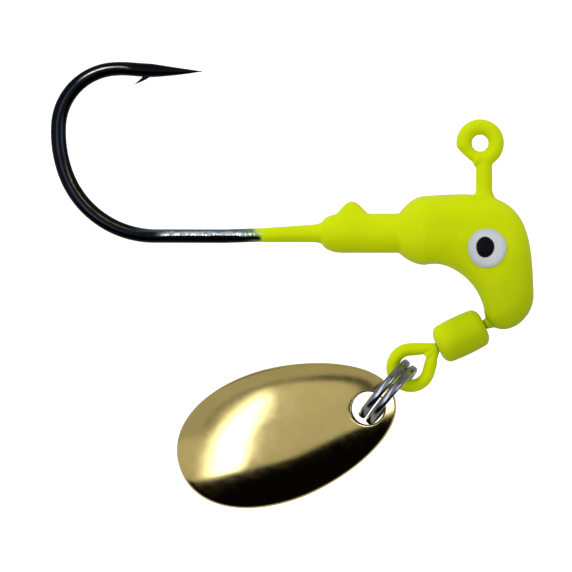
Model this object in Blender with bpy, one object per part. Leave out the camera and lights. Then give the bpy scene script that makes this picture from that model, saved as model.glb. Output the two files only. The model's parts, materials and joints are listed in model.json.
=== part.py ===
"""Spinnerbait: a lead-headed jig hook that carries a swivel, a split ring and a cupped blade.

Lengths are in millimetres and are scaled to metres as each mesh is made.
+Z runs up the line-tie stem, +X towards the nose, +Y to the lure's left side.
The origin is the centre of the line-tie eye.
"""

import bpy
import bmesh
import math
from mathutils import Vector
from mathutils.bvhtree import BVHTree

MM = 0.001

# Clearances
PAINT_GAP = 0.02
DAB_GAP = 0.06
COLLAR_GAP = 0.05
CAST_GAP = 0.03
RUNNING_GAP = 0.06

# Line-tie eye, the end of the hook wire
LINE_TIE_R = 1.207
LINE_TIE_TAIL = 0.35
LINE_TIE_TAIL_HEADING = 148.0
LINE_TIE_WRAP = 288.0
LINE_TIE_NECK = 0.202
LINE_TIE_NECK_BEND_R = 0.90
LINE_TIE_NECK_BEND = 50.0
STEM_LENGTH = 3.136

# Hook
HOOK_WIRE_R = 0.535
HOOK_SIDES = 12
STEM_STEPS = 5
SHANK_STEPS = 3
SPEAR_STEPS = 6
HOOK_ELBOW_R = 1.50
HOOK_ELBOW_TURN = 88.03
SHANK_IN_HEAD = 10.80
SHANK_BARE = 7.03
SHANK_KICK_R = 8.0
SHANK_KICK_TURN = 2.13
SHANK_BACK = 5.20
LOWER_BEND_R = 7.136
LOWER_BEND_TURN = 69.64
SIDE_BEND_R = 9.098
SIDE_BEND_TURN = 23.63
UPPER_BEND_R = 4.472
UPPER_BEND_TURN = 81.73
POINT_BEND_R = 7.955
POINT_BEND_TURN = 9.6
SPEAR_R = 53.4
SPEAR_TURN = 5.81
NEEDLE_LENGTH = 3.75
NEEDLE_TIP_R = 0.02
BARB_FRONT = 3.15
BARB_BACK = 4.05
BARB_TIP_BACK = 4.95
BARB_REACH = 1.13
BARB_WIDTH = 0.46
BARB_TIP_WIDTH = 0.08

# Head, measured from the centre of its inner curve
HEAD_PIVOT_X = -4.13
HEAD_PIVOT_Z = -13.47
INNER_CURVE_R = 4.54
CROWN_HEIGHT = 9.556
FACE_REACH = 8.199
CORNER_POWER = 4.32
CROWN_TILT_DEG = 1.52
INNER_CURVE_EASE = 0.22
CROWN_EASE = 0.10
EASE_FROM = 0.30
FAN_END_DEG = 14.0
HEAD_HALF_WIDTH = 2.50
CHIN_HALF_WIDTH = 1.70
CHIN_DEPTH = 2.02
HEAD_SIDES = 20
FAN_STATIONS = 12
SECTION_POWER_HEAD = 2.3
SECTION_POWER_CHIN = 2.1
ROUND_POWER = 2.0
COLLAR_END_STEPS = 4
COLLAR_STEPS = 12
SHOULDER_STEPS = 5
CHIN_STEPS = 5
CHIN_CAP_DEG = 86.0

# Bait collar and its keeper spur
COLLAR_BACK_X = -11.86
COLLAR_FRONT_X = -6.10
COLLAR_Z = -6.76
COLLAR_R = 1.48
COLLAR_END_R = 0.74
COLLAR_ROUNDING = 1.40
SPUR_X = -9.62
SPUR_REACH = 1.30
SPUR_HEIGHT = 0.90
SPUR_NARROWNESS = 7.0

# Paint
COAT = 0.11
LINE_TIE_PAINT_R = 0.595
SHANK_PAINT_R = 0.70
SHANK_PAINT_LENGTH = 5.2
SHANK_PAINT_STEPS = 6
SHANK_PAINT_EDGE = 0.03
SHANK_PAINT_FADE = 1.6
PAINT_CAP = 0.05
CAP_TAPER = 0.80

# Painted eyes
EYE_X = 0.41
EYE_Z = -7.88
EYE_R = 1.47
EYE_DOME = 0.13
PUPIL_X = 0.26
PUPIL_Z = -7.81
PUPIL_HALF_WIDTH = 0.68
PUPIL_HALF_HEIGHT = 0.78
PUPIL_DOME = 0.06
DAB_EDGE = 0.05
DAB_SIDES = 20
DAB_RINGS = 3
DAB_RAY_START = 10.0

# Swivel
SWIVEL_AXIS_DEG = 25.5
BARREL_MID_X = -1.44
BARREL_MID_Z = -14.46
BARREL_R = 1.52
BARREL_LENGTH = 3.60
BARREL_CORNER_R = 0.60
BARREL_COAT = 0.08
BARREL_CAVITY_R = 1.02
BARREL_END_WALL = 0.38
BARREL_SIDES = 20
SWIVEL_WIRE_R = 0.345
SWIVEL_SIDES = 10
UPSET_R = 0.72
UPSET_THICKNESS = 0.55
UPSET_END_SHARE = 0.75
UPSET_CHAMFER = 0.25
UPSET_NECK_SHARE = 1.15
UPSET_NECK_LENGTH = 0.05
CORNER_STEPS = 4
PAINT_HOLE_STEP = 0.05
ANCHOR_CUT_FROM = 0.06
EYE_PAINT_FROM = 0.05
EYE_PAINT_EDGE = 0.04
ANCHOR_LOOP_X = 1.94
ANCHOR_LOOP_Z = -12.42
ANCHOR_LOOP_R = 0.72
ANCHOR_WRAP = 262.0
ANCHOR_TAIL = 0.22
BLADE_EYE_X = -5.20
BLADE_EYE_Z = -16.84
BLADE_EYE_R = 1.37
BLADE_EYE_WRAP = 252.0
BLADE_EYE_TAIL = 1.12
BLADE_EYE_PAINT_R = 0.47
NECK_STUB = 0.26

# Split ring
RING_X = -6.775
RING_Y = 0.30
RING_Z = -18.790
RING_R = 2.52
RING_LEAN_DEG = 50.0
RING_TILT_DEG = 5.5
RING_WIRE_RADIAL = 0.54
RING_WIRE_AXIAL = 0.60
RING_PITCH = 0.71
RING_SHIFT = -0.16
RING_JOG_DEG = 36.0
RING_JOG_AT_DEG = 270.0
RING_START_GAP_DEG = 24.0
RING_END_GAP_DEG = 50.0
RING_END_SPREAD = 0.26
RING_SPREAD_FROM_DEG = 60.0
RING_SECTION_POWER = 2.8
RING_STEPS_PER_TURN = 30
RING_SECTION_SIDES = 8

# Blade
BLADE_X = -14.476
BLADE_Z = -21.742
BLADE_LEAN_DEG = 18.63
BLADE_HALF_LENGTH = 8.562
BLADE_HALF_WIDTH = 5.021
BLADE_FULLNESS = 0.930
BLADE_EGG = 0.131
BLADE_TAPER = 1.0365
BLADE_CUP = 1.45
BLADE_CUP_POWER = 2.6
BLADE_RIM_Y = 1.95
BLADE_THICKNESS = 0.48
BLADE_SIDES = 36
BLADE_RINGS = 6
BLADE_RING_SPREAD = 0.85
BLADE_RIM_INSET = 0.058
BLADE_HOLE_X = -8.36
BLADE_HOLE_Z = -19.93
BLADE_HOLE_R = 1.30
HOLE_SIDES = 20
PUNCH_LOW_Y = -1.0
PUNCH_HIGH_Y = 4.0

# Swing of the ring on the swivel's loop: the loop wire furthest from the barrel
RING_PIVOT_X = BLADE_EYE_X - BLADE_EYE_R * math.cos(math.radians(RING_LEAN_DEG))
RING_PIVOT_Z = BLADE_EYE_Z - BLADE_EYE_R * math.sin(math.radians(RING_LEAN_DEG))

ARC_STEP_DEG = 10.0
TIGHT_ARC_STEP_DEG = 17.0
TIGHT_ARC_R = 3.0


def heading(degrees):
    """A unit vector in the lure's mid-plane, turned up from +X."""
    angle = math.radians(degrees)
    return Vector((math.cos(angle), 0.0, math.sin(angle)))


class Track:
    """A path drawn in the mid-plane by straight runs and arcs that join without a kink."""

    def __init__(self, start, degrees):
        self.points = [Vector(start)]
        self.angles = [degrees]
        self.degrees = degrees

    def run(self, length, steps=1):
        for _ in range(steps):
            self.points.append(self.points[-1] + heading(self.degrees) * (length / steps))
            self.angles.append(self.degrees)
        return self

    def arc(self, radius, turn):
        step = TIGHT_ARC_STEP_DEG if radius < TIGHT_ARC_R else ARC_STEP_DEG
        count = max(1, math.ceil(abs(turn) / step))
        side = math.copysign(1.0, turn)
        centre = self.points[-1] + heading(self.degrees + side * 90.0) * radius
        for _ in range(count):
            self.degrees += turn / count
            self.points.append(centre - heading(self.degrees + side * 90.0) * radius)
            self.angles.append(self.degrees)
        return self

    def part(self, first, last):
        """The stretch between two point numbers, as a new track."""
        piece = Track(self.points[first], self.angles[last - 1])
        piece.points = self.points[first:last]
        piece.angles = self.angles[first:last]
        return piece

    def turned_round(self):
        """The same path walked from its end to its start."""
        piece = Track(self.points[-1], self.angles[0] + 180.0)
        piece.points = self.points[::-1]
        piece.angles = [angle + 180.0 for angle in reversed(self.angles)]
        return piece

    def lengths(self):
        total = [0.0]
        for before, after in zip(self.points, self.points[1:]):
            total.append(total[-1] + (after - before).length)
        return total


def material(name, colour, metallic, roughness):
    found = bpy.data.materials.get(name)
    if found:
        return found
    made = bpy.data.materials.new(name)
    made.use_nodes = True
    shader = made.node_tree.nodes["Principled BSDF"]
    shader.inputs["Base Color"].default_value = (*colour, 1.0)
    shader.inputs["Metallic"].default_value = metallic
    shader.inputs["Roughness"].default_value = roughness
    made.diffuse_color = (*colour, 1.0)
    return made


def emit(name, verts, faces, look, origin=(0.0, 0.0, 0.0)):
    """Makes an object whose own origin is the given point, with its faces turned outward."""
    origin = Vector(origin)
    mesh = bpy.data.meshes.new(name)
    mesh.from_pydata([(Vector(v) - origin) * MM for v in verts], [], faces)
    work = bmesh.new()
    work.from_mesh(mesh)
    bmesh.ops.recalc_face_normals(work, faces=work.faces)
    work.to_mesh(mesh)
    work.free()
    mesh.polygons.foreach_set("use_smooth", [True] * len(mesh.polygons))
    obj = bpy.data.objects.new(name, mesh)
    obj.location = origin * MM
    bpy.context.scene.collection.objects.link(obj)
    if look:
        mesh.materials.append(look)
    return obj


def cutter(name, verts, faces):
    obj = emit(name, verts, faces, None)
    obj.hide_render = True
    obj.display_type = "WIRE"
    return obj


def cut(obj, tool, operation="DIFFERENCE"):
    change = obj.modifiers.new(tool.name, "BOOLEAN")
    change.operation = operation
    change.solver = "EXACT"
    change.object = tool


def bridge(rings, closed=False):
    """Faces between rings of equal size; open tracks get a flat cap at each end."""
    sides = len(rings[0])
    verts = [p for ring in rings for p in ring]
    faces = []
    count = len(rings)
    for i in range(count if closed else count - 1):
        low = i * sides
        high = ((i + 1) % count) * sides
        for j in range(sides):
            k = (j + 1) % sides
            faces.append((low + j, low + k, high + k, high + j))
    if not closed:
        faces.append(tuple(range(sides))[::-1])
        faces.append(tuple(range((count - 1) * sides, count * sides)))
    return verts, faces


def wire_ring(centre, degrees, radius, sides):
    across = heading(degrees + 90.0)
    side = Vector((0.0, 1.0, 0.0))
    ring = []
    for j in range(sides):
        turn = 2.0 * math.pi * j / sides
        ring.append(centre + across * (radius * math.cos(turn)) + side * (radius * math.sin(turn)))
    return ring


def wire(track, radii, sides):
    rings = [wire_ring(p, a, r, sides) for p, a, r in zip(track.points, track.angles, radii)]
    return bridge(rings)


def sleeve(track, outer, inner, sides, cap=0.0):
    """A tube along a track. A cap of this thickness closes it past its last point."""
    outside = [wire_ring(p, a, r, sides) for p, a, r in zip(track.points, track.angles, outer)]
    inside = [wire_ring(p, a, r, sides) for p, a, r in zip(track.points, track.angles, inner)]
    if not cap:
        return bridge(outside + inside[::-1], closed=True)
    degrees = track.angles[-1]
    end = track.points[-1] + heading(degrees) * cap
    outside.append(wire_ring(end, degrees, outer[-1] * CAP_TAPER, sides))
    return bridge(inside[::-1] + outside)


def lathe(profile, axis_mid, degrees, sides):
    """Turns a closed profile of (along, radius) about the swivel's axis."""
    along = heading(degrees)
    rings = [wire_ring(axis_mid + along * t, degrees, r, sides) for t, r in profile]
    return bridge(rings, closed=True)


def corner(along, radius, corner_r, start, stop):
    """Points round a corner of a turned profile."""
    points = []
    for i in range(CORNER_STEPS + 1):
        angle = math.radians(start + (stop - start) * i / CORNER_STEPS)
        points.append((along + corner_r * math.cos(angle), radius + corner_r * math.sin(angle)))
    return points


def hook_track():
    """The whole hook wire from its free end to the point, and where its stem and shank begin."""
    start_angle = LINE_TIE_TAIL_HEADING + 90.0
    tangent = heading(start_angle) * LINE_TIE_R
    start = tangent - heading(LINE_TIE_TAIL_HEADING) * LINE_TIE_TAIL
    track = Track(start, LINE_TIE_TAIL_HEADING)
    track.run(LINE_TIE_TAIL)
    track.arc(LINE_TIE_R, -LINE_TIE_WRAP)
    track.run(LINE_TIE_NECK)
    track.arc(LINE_TIE_NECK_BEND_R, LINE_TIE_NECK_BEND)
    stem = len(track.points)
    track.run(STEM_LENGTH, STEM_STEPS)
    track.arc(HOOK_ELBOW_R, -HOOK_ELBOW_TURN)
    track.run(SHANK_IN_HEAD, SHANK_STEPS)
    shank = len(track.points)
    track.run(SHANK_BARE, SHANK_STEPS)
    track.arc(SHANK_KICK_R, -SHANK_KICK_TURN)
    track.run(SHANK_BACK, SHANK_STEPS)
    track.arc(LOWER_BEND_R, -LOWER_BEND_TURN)
    track.arc(SIDE_BEND_R, -SIDE_BEND_TURN)
    track.arc(UPPER_BEND_R, -UPPER_BEND_TURN)
    track.arc(POINT_BEND_R, -POINT_BEND_TURN)
    for _ in range(SPEAR_STEPS):
        track.arc(SPEAR_R, SPEAR_TURN / SPEAR_STEPS)
    return track, stem, shank


def hook_radii(track):
    lengths = track.lengths()
    total = lengths[-1]
    radii = []
    for length in lengths:
        left = (total - length) / NEEDLE_LENGTH
        radii.append(max(NEEDLE_TIP_R, HOOK_WIRE_R * min(1.0, left)))
    return radii


def from_point(track, distance):
    """The place on the hook this far back from its point, and its inward side."""
    lengths = track.lengths()
    target = lengths[-1] - distance
    place = max(i for i, length in enumerate(lengths) if length <= target)
    along = heading(track.angles[place])
    inward = heading(track.angles[place] - 90.0)
    return track.points[place] + along * (target - lengths[place]), inward


def barb(track):
    """A sliver raised from the inside of the point, leaning back towards the bend."""
    side = Vector((0.0, 1.0, 0.0))
    verts = []
    for distance in (BARB_BACK, BARB_FRONT):
        place, _ = from_point(track, distance)
        for sign in (-1.0, 1.0):
            verts.append(place + side * (BARB_WIDTH * 0.5 * sign))
    place, inward = from_point(track, BARB_TIP_BACK)
    for sign in (-1.0, 1.0):
        verts.append(place + inward * BARB_REACH + side * (BARB_TIP_WIDTH * 0.5 * sign))
    faces = [(0, 1, 3, 2), (0, 2, 4), (1, 5, 3), (2, 3, 5, 4), (0, 4, 5, 1)]
    return verts, faces


def superellipse(turn, power):
    c = math.cos(turn)
    s = math.sin(turn)
    exponent = 2.0 / power
    return math.copysign(abs(c) ** exponent, c), math.copysign(abs(s) ** exponent, s)


def head_reach(part):
    """Inner and outer distance of the head from its pivot, from upright (0) to the chin (1)."""
    degrees = 90.0 + (FAN_END_DEG - 90.0) * part - CROWN_TILT_DEG
    out = heading(degrees)
    up = (abs(out.z) / CROWN_HEIGHT) ** CORNER_POWER
    ahead = (abs(out.x) / FACE_REACH) ** CORNER_POWER
    ease = max(0.0, 1.0 - part / EASE_FROM) ** 2
    outer = (up + ahead) ** (-1.0 / CORNER_POWER)
    return INNER_CURVE_R - INNER_CURVE_EASE * ease, outer - CROWN_EASE * ease


def head_stations(inset):
    """Cross-sections from the collar's back end to the chin: centre, outward, half sizes, power."""
    stations = []
    upright = heading(90.0)
    back = COLLAR_BACK_X + inset
    for i in range(COLLAR_END_STEPS + 1):
        turn = math.radians(90.0 * i / COLLAR_END_STEPS)
        radius = COLLAR_END_R + (COLLAR_R - COLLAR_END_R) * math.sin(turn) - inset
        x = back + (COLLAR_ROUNDING - inset) * (1.0 - math.cos(turn))
        stations.append((Vector((x, 0.0, COLLAR_Z)), upright, radius, radius, ROUND_POWER))
    first = COLLAR_BACK_X + COLLAR_ROUNDING
    for i in range(1, COLLAR_STEPS + 1):
        x = first + (COLLAR_FRONT_X - first) * i / COLLAR_STEPS
        radius = COLLAR_R - inset
        stations.append((Vector((x, 0.0, COLLAR_Z)), upright, radius, radius, ROUND_POWER))
    pivot = Vector((HEAD_PIVOT_X, 0.0, HEAD_PIVOT_Z))
    inner, outer = head_reach(0.0)
    middle = HEAD_PIVOT_Z + (outer + inner) / 2.0
    half = (outer - inner) / 2.0
    for i in range(1, SHOULDER_STEPS):
        part = i / SHOULDER_STEPS
        grow = 1.0 - (1.0 - part) ** 2
        x = COLLAR_FRONT_X + (HEAD_PIVOT_X - COLLAR_FRONT_X) * part
        z = COLLAR_Z + (middle - COLLAR_Z) * grow
        high = COLLAR_R + (half - COLLAR_R) * grow - inset
        wide = COLLAR_R + (HEAD_HALF_WIDTH - COLLAR_R) * grow - inset
        power = ROUND_POWER + (SECTION_POWER_HEAD - ROUND_POWER) * part
        stations.append((Vector((x, 0.0, z)), upright, high, wide, power))
    for i in range(FAN_STATIONS + 1):
        part = i / FAN_STATIONS
        out = heading(90.0 + (FAN_END_DEG - 90.0) * part)
        inner, outer = head_reach(part)
        centre = pivot + out * ((outer + inner) / 2.0)
        high = (outer - inner) / 2.0 - inset
        wide = HEAD_HALF_WIDTH + (CHIN_HALF_WIDTH - HEAD_HALF_WIDTH) * part - inset
        stations.append((centre, out, high, wide, SECTION_POWER_HEAD))
    centre, out, high, wide, power = stations[-1]
    down = heading(-90.0)
    for i in range(1, CHIN_STEPS + 1):
        turn = math.radians(CHIN_CAP_DEG * i / CHIN_STEPS)
        drop = (CHIN_DEPTH - inset) * math.sin(turn)
        shrink = math.cos(turn)
        stations.append((centre + down * drop, out, high * shrink, wide * shrink, SECTION_POWER_CHIN))
    return stations


def head_surface(inset):
    """The head and its collar, drawn in by this much, with the keeper spur's crest."""
    rings = []
    for centre, out, high, wide, power in head_stations(inset):
        near = max(0.0, 1.0 - ((centre.x - SPUR_X) / SPUR_REACH) ** 2)
        spur = SPUR_HEIGHT * near ** 2
        ring = []
        for j in range(HEAD_SIDES):
            turn = 2.0 * math.pi * j / HEAD_SIDES
            c, s = superellipse(turn, power)
            crest = spur * max(0.0, math.cos(turn)) ** SPUR_NARROWNESS
            ring.append(centre + out * (high * c + crest) + Vector((0.0, wide * s, 0.0)))
        rings.append(ring)
    return bridge(rings)


def tree_of(verts, faces):
    return BVHTree.FromPolygons([Vector(v) for v in verts], faces)


def dab(base, side, x, z, half_width, half_height, dome):
    """A domed drop of paint on one side of the head, shaped to the surface under it."""
    start = Vector((0.0, side * DAB_RAY_START, 0.0))
    inward = Vector((0.0, -side, 0.0))
    under = []
    over = []
    for ring in range(DAB_RINGS + 1):
        share = ring / DAB_RINGS
        lift = DAB_EDGE + (dome - DAB_EDGE) * math.sqrt(max(0.0, 1.0 - share ** 3))
        for j in range(DAB_SIDES if ring else 1):
            turn = 2.0 * math.pi * j / DAB_SIDES
            px = x + half_width * share * math.cos(turn)
            pz = z + half_height * share * math.sin(turn)
            hit, normal, _, _ = base.ray_cast(Vector((px, 0.0, pz)) + start, inward)
            out = normal if normal.y * side > 0.0 else -normal
            under.append(hit + out * DAB_GAP)
            over.append(hit + out * (DAB_GAP + lift))
    count = len(under)
    faces = []
    for shift, flip in ((0, True), (count, False)):
        for ring in range(DAB_RINGS):
            for j in range(DAB_SIDES):
                k = (j + 1) % DAB_SIDES
                outer = 1 + ring * DAB_SIDES
                if ring == 0:
                    face = (shift, shift + outer + j, shift + outer + k)
                else:
                    inner = outer - DAB_SIDES
                    face = (inner + j, outer + j, outer + k, inner + k)
                    face = tuple(shift + corner_at for corner_at in face)
                faces.append(face[::-1] if flip else face)
    edge = 1 + (DAB_RINGS - 1) * DAB_SIDES
    for j in range(DAB_SIDES):
        k = (j + 1) % DAB_SIDES
        faces.append((edge + j, edge + k, count + edge + k, count + edge + j))
    return under + over, faces


def eye_track(start, degrees, centre, radius, wrap, tail):
    """A neck that meets a round loop at a tangent, goes round it and comes back to the neck."""
    reach = centre - start
    bearing = math.degrees(math.atan2(reach.z, reach.x))
    lean = math.degrees(math.asin(radius / reach.length))
    straight = math.sqrt(reach.length ** 2 - radius ** 2)
    track = Track(start, degrees)
    track.degrees = bearing - lean
    if abs(degrees - track.degrees) < 180.0:
        track.angles[0] = (degrees + track.degrees) / 2.0
    track.run(straight, 2)
    track.arc(radius, wrap)
    track.run(tail)
    return track


def swivel_eye(sign, centre, radius, wrap, tail, grow=0.0, from_barrel=None):
    """One swivel eye: an upset head inside the barrel, the neck on the axis, and the loop.

    With from_barrel it starts that far outside the barrel instead, at the bare neck.
    """
    mid = Vector((BARREL_MID_X, 0.0, BARREL_MID_Z))
    degrees = SWIVEL_AXIS_DEG if sign > 0 else SWIVEL_AXIS_DEG + 180.0
    along = heading(degrees)
    end = BARREL_LENGTH / 2.0
    inner = end - BARREL_END_WALL - RUNNING_GAP
    loop = eye_track(mid + along * (end + NECK_STUB), degrees, centre, radius, wrap, tail)
    track = Track(mid + along * (inner - UPSET_THICKNESS), degrees)
    radii = [UPSET_R * UPSET_END_SHARE]
    for distance, thick in (
        (inner - UPSET_THICKNESS * (1.0 - UPSET_CHAMFER), UPSET_R),
        (inner - UPSET_THICKNESS * UPSET_CHAMFER, UPSET_R),
        (inner, SWIVEL_WIRE_R * UPSET_NECK_SHARE),
        (inner + UPSET_NECK_LENGTH, SWIVEL_WIRE_R),
    ):
        track.points.append(mid + along * distance)
        track.angles.append(degrees)
        radii.append(thick)
    if from_barrel is not None:
        track = Track(mid + along * (end + from_barrel), degrees)
        radii = [SWIVEL_WIRE_R]
    track.points += loop.points
    track.angles += loop.angles
    track.degrees = loop.degrees
    radii += [SWIVEL_WIRE_R] * len(loop.points)
    return track, [r + grow for r in radii]


def barrel_metal(half, hole_r):
    """The closed outline of the barrel's hollow metal shell, under its paint."""
    bare = BARREL_COAT + PAINT_GAP
    end = half - bare
    bend = BARREL_CORNER_R - bare
    centre_r = BARREL_R - bare - bend
    profile = [(-end, hole_r)]
    profile += corner(-end + bend, centre_r, bend, 180.0, 90.0)
    profile += corner(end - bend, centre_r, bend, 90.0, 0.0)
    profile.append((end, hole_r))
    inner = half - BARREL_END_WALL
    profile += [(inner, hole_r), (inner, BARREL_CAVITY_R)]
    profile += [(-inner, BARREL_CAVITY_R), (-inner, hole_r)]
    return profile


def barrel_skin(half, hole_r):
    """The closed outline of the barrel's paint."""
    profile = [(-half, hole_r)]
    centre_r = BARREL_R - BARREL_CORNER_R
    profile += corner(-half + BARREL_CORNER_R, centre_r, BARREL_CORNER_R, 180.0, 90.0)
    profile += corner(half - BARREL_CORNER_R, centre_r, BARREL_CORNER_R, 90.0, 0.0)
    profile.append((half, hole_r))
    end = half - BARREL_COAT
    bend = BARREL_CORNER_R - BARREL_COAT
    profile.append((end, hole_r))
    profile += corner(end - bend, centre_r, bend, 0.0, 90.0)
    profile += corner(-end + bend, centre_r, bend, 90.0, 180.0)
    profile.append((-end, hole_r))
    return profile


def ring_frame():
    """The ring's centre, its two in-plane directions and its normal."""
    lean = heading(RING_LEAN_DEG)
    normal = heading(RING_LEAN_DEG - 90.0)
    tilt = math.radians(RING_TILT_DEG)
    front = Vector((0.0, -math.cos(tilt), 0.0)) - normal * math.sin(tilt)
    across = lean.cross(front).normalized()
    if across.dot(normal) < 0.0:
        across = -across
    centre = Vector((RING_X, RING_Y, RING_Z)) + across * RING_SHIFT
    return centre, lean, front, across


def split_ring():
    """Two coils of flattened spring wire side by side, joined by one jog."""
    centre, lean, front, across = ring_frame()
    first = RING_JOG_AT_DEG - 360.0 + RING_START_GAP_DEG
    last = RING_JOG_AT_DEG + 360.0 - RING_END_GAP_DEG
    steps = round((last - first) / 360.0 * RING_STEPS_PER_TURN)
    rings = []
    for i in range(steps + 1):
        degrees = first + (last - first) * i / steps
        share = (degrees - RING_JOG_AT_DEG) / RING_JOG_DEG + 0.5
        share = min(1.0, max(0.0, share))
        ease = share * share * (3.0 - 2.0 * share)
        turn = math.radians(degrees)
        outward = lean * math.cos(turn) + front * math.sin(turn)
        spread = max(0.0, 1.0 - (last - degrees) / RING_SPREAD_FROM_DEG) ** 2 * RING_END_SPREAD
        middle = centre + outward * RING_R + across * (RING_PITCH * (0.5 - ease) - spread)
        ring = []
        for j in range(RING_SECTION_SIDES):
            angle = 2.0 * math.pi * (j + 0.5) / RING_SECTION_SIDES
            c, s = superellipse(angle, RING_SECTION_POWER)
            radial = outward * (RING_WIRE_RADIAL / 2.0 * c)
            ring.append(middle + radial + across * (RING_WIRE_AXIAL / 2.0 * s))
        rings.append(ring)
    return bridge(rings)


def blade_shell():
    """A cupped egg-shaped plate, its convex side towards -Y."""
    along = heading(BLADE_LEAN_DEG)
    across = heading(BLADE_LEAN_DEG + 90.0)
    middle = Vector((BLADE_X, 0.0, BLADE_Z))
    front = []
    back = []
    for ring in range(BLADE_RINGS + 1):
        share = (ring / BLADE_RINGS) ** BLADE_RING_SPREAD
        cup = BLADE_CUP * (1.0 - share ** BLADE_CUP_POWER)
        slope = share ** (BLADE_CUP_POWER - 1.0)
        for j in range(BLADE_SIDES if ring else 1):
            turn = 2.0 * math.pi * j / BLADE_SIDES
            c = math.cos(turn)
            s = math.sin(turn)
            wide = math.copysign(abs(s) ** BLADE_FULLNESS, s) * (1.0 - BLADE_EGG * c)
            long = math.copysign(abs(c) ** BLADE_TAPER, c)
            flat = along * (BLADE_HALF_LENGTH * share * long)
            flat = flat + across * (BLADE_HALF_WIDTH * share * wide)
            pull = flat.normalized() * (BLADE_RIM_INSET * slope) if ring else Vector()
            depth = Vector((0.0, BLADE_RIM_Y - cup, 0.0))
            front.append(middle + flat + depth)
            back.append(middle + flat - pull + depth + Vector((0.0, BLADE_THICKNESS, 0.0)))
    count = len(front)
    faces = []
    for shift in (0, count):
        for ring in range(BLADE_RINGS):
            outer = shift + 1 + ring * BLADE_SIDES
            inner = outer - BLADE_SIDES
            for j in range(BLADE_SIDES):
                k = (j + 1) % BLADE_SIDES
                if ring == 0:
                    faces.append((shift, outer + j, outer + k))
                else:
                    faces.append((inner + j, outer + j, outer + k, inner + k))
    edge = 1 + (BLADE_RINGS - 1) * BLADE_SIDES
    for j in range(BLADE_SIDES):
        k = (j + 1) % BLADE_SIDES
        faces.append((edge + j, edge + k, count + edge + k, count + edge + j))
    return front + back, faces


def blade_punch():
    """A round bar along Y that cuts the blade's hole."""
    rings = []
    for y in (PUNCH_LOW_Y, PUNCH_HIGH_Y):
        ring = []
        for j in range(HOLE_SIDES):
            turn = 2.0 * math.pi * j / HOLE_SIDES
            x = BLADE_HOLE_X + BLADE_HOLE_R * math.cos(turn)
            z = BLADE_HOLE_Z + BLADE_HOLE_R * math.sin(turn)
            ring.append(Vector((x, y, z)))
        rings.append(ring)
    return bridge(rings)


def build_hook(look):
    track, stem, shank = hook_track()
    hook = emit("jig_hook", *wire(track, hook_radii(track), HOOK_SIDES), look)
    cut(hook, cutter("barb_wedge", *barb(track)), "UNION")
    return track, stem, shank


def build_line_tie_paint(track, stem, look):
    """Paint from the crown of the head up the stem, round the eye and over the wire's cut end."""
    coated = track.part(0, stem + 2)
    crown = Vector((coated.points[-2].x, 0.0, CROWN_HEIGHT + HEAD_PIVOT_Z + PAINT_GAP))
    coated.points[-1] = crown
    coated = coated.turned_round().run(PAINT_GAP)
    count = len(coated.points)
    inner = [HOOK_WIRE_R + PAINT_GAP] * count
    outer = [LINE_TIE_PAINT_R] * count
    emit("line_tie_paint", *sleeve(coated, outer, inner, HOOK_SIDES, PAINT_CAP), look)


def shank_at(track, x):
    """Where the shank passes this x on its way back from the head, and its direction there."""
    for before, after, degrees in zip(track.points, track.points[1:], track.angles[1:]):
        if before.x >= x >= after.x:
            along = heading(degrees)
            return before + along * ((x - before.x) / along.x), degrees


def build_shank_paint(track, look):
    """Paint that runs back along the shank from the collar and thins out."""
    line = Track(*shank_at(track, COLLAR_BACK_X - COLLAR_GAP))
    line.run(SHANK_PAINT_LENGTH, SHANK_PAINT_STEPS)
    inner = [HOOK_WIRE_R + PAINT_GAP] * len(line.points)
    thin = HOOK_WIRE_R + PAINT_GAP + SHANK_PAINT_EDGE
    outer = []
    for i in range(SHANK_PAINT_STEPS + 1):
        left = 1.0 - i / SHANK_PAINT_STEPS
        outer.append(thin + (SHANK_PAINT_R - thin) * left ** SHANK_PAINT_FADE)
    emit("shank_paint", *sleeve(line, outer, inner, HOOK_SIDES), look)


def build_head(track, stem, shank, lead, paint):
    """The casting and its coat, both cleared for the hook and for the swivel's buried eye."""
    inside = track.part(stem - 1, shank + 3)
    clear = [HOOK_WIRE_R + CAST_GAP] * len(inside.points)
    channel = cutter("hook_channel", *wire(inside, clear, HOOK_SIDES))
    loop = Vector((ANCHOR_LOOP_X, 0.0, ANCHOR_LOOP_Z))
    tail = ANCHOR_TAIL + CAST_GAP
    anchor = swivel_eye(1, loop, ANCHOR_LOOP_R, ANCHOR_WRAP, tail, CAST_GAP, ANCHOR_CUT_FROM)
    anchor_channel = cutter("anchor_channel", *wire(*anchor, SWIVEL_SIDES))
    casting = emit("head_casting", *head_surface(COAT + PAINT_GAP), lead)
    cut(casting, channel)
    cut(casting, anchor_channel)
    outside = head_surface(0.0)
    coat = emit("head_paint_coat", *outside, paint)
    cut(coat, cutter("coat_void", *head_surface(COAT)))
    cut(coat, channel)
    cut(coat, anchor_channel)
    return tree_of(*outside)


def build_eyes(surface, white, black):
    for side, word in ((-1.0, "right"), (1.0, "left")):
        verts, faces = dab(surface, side, EYE_X, EYE_Z, EYE_R, EYE_R, EYE_DOME)
        emit("eye_white_" + word, verts, faces, white)
        on_white = tree_of(verts, faces)
        verts, faces = dab(
            on_white, side, PUPIL_X, PUPIL_Z, PUPIL_HALF_WIDTH, PUPIL_HALF_HEIGHT, PUPIL_DOME)
        emit("eye_pupil_" + word, verts, faces, black)


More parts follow.
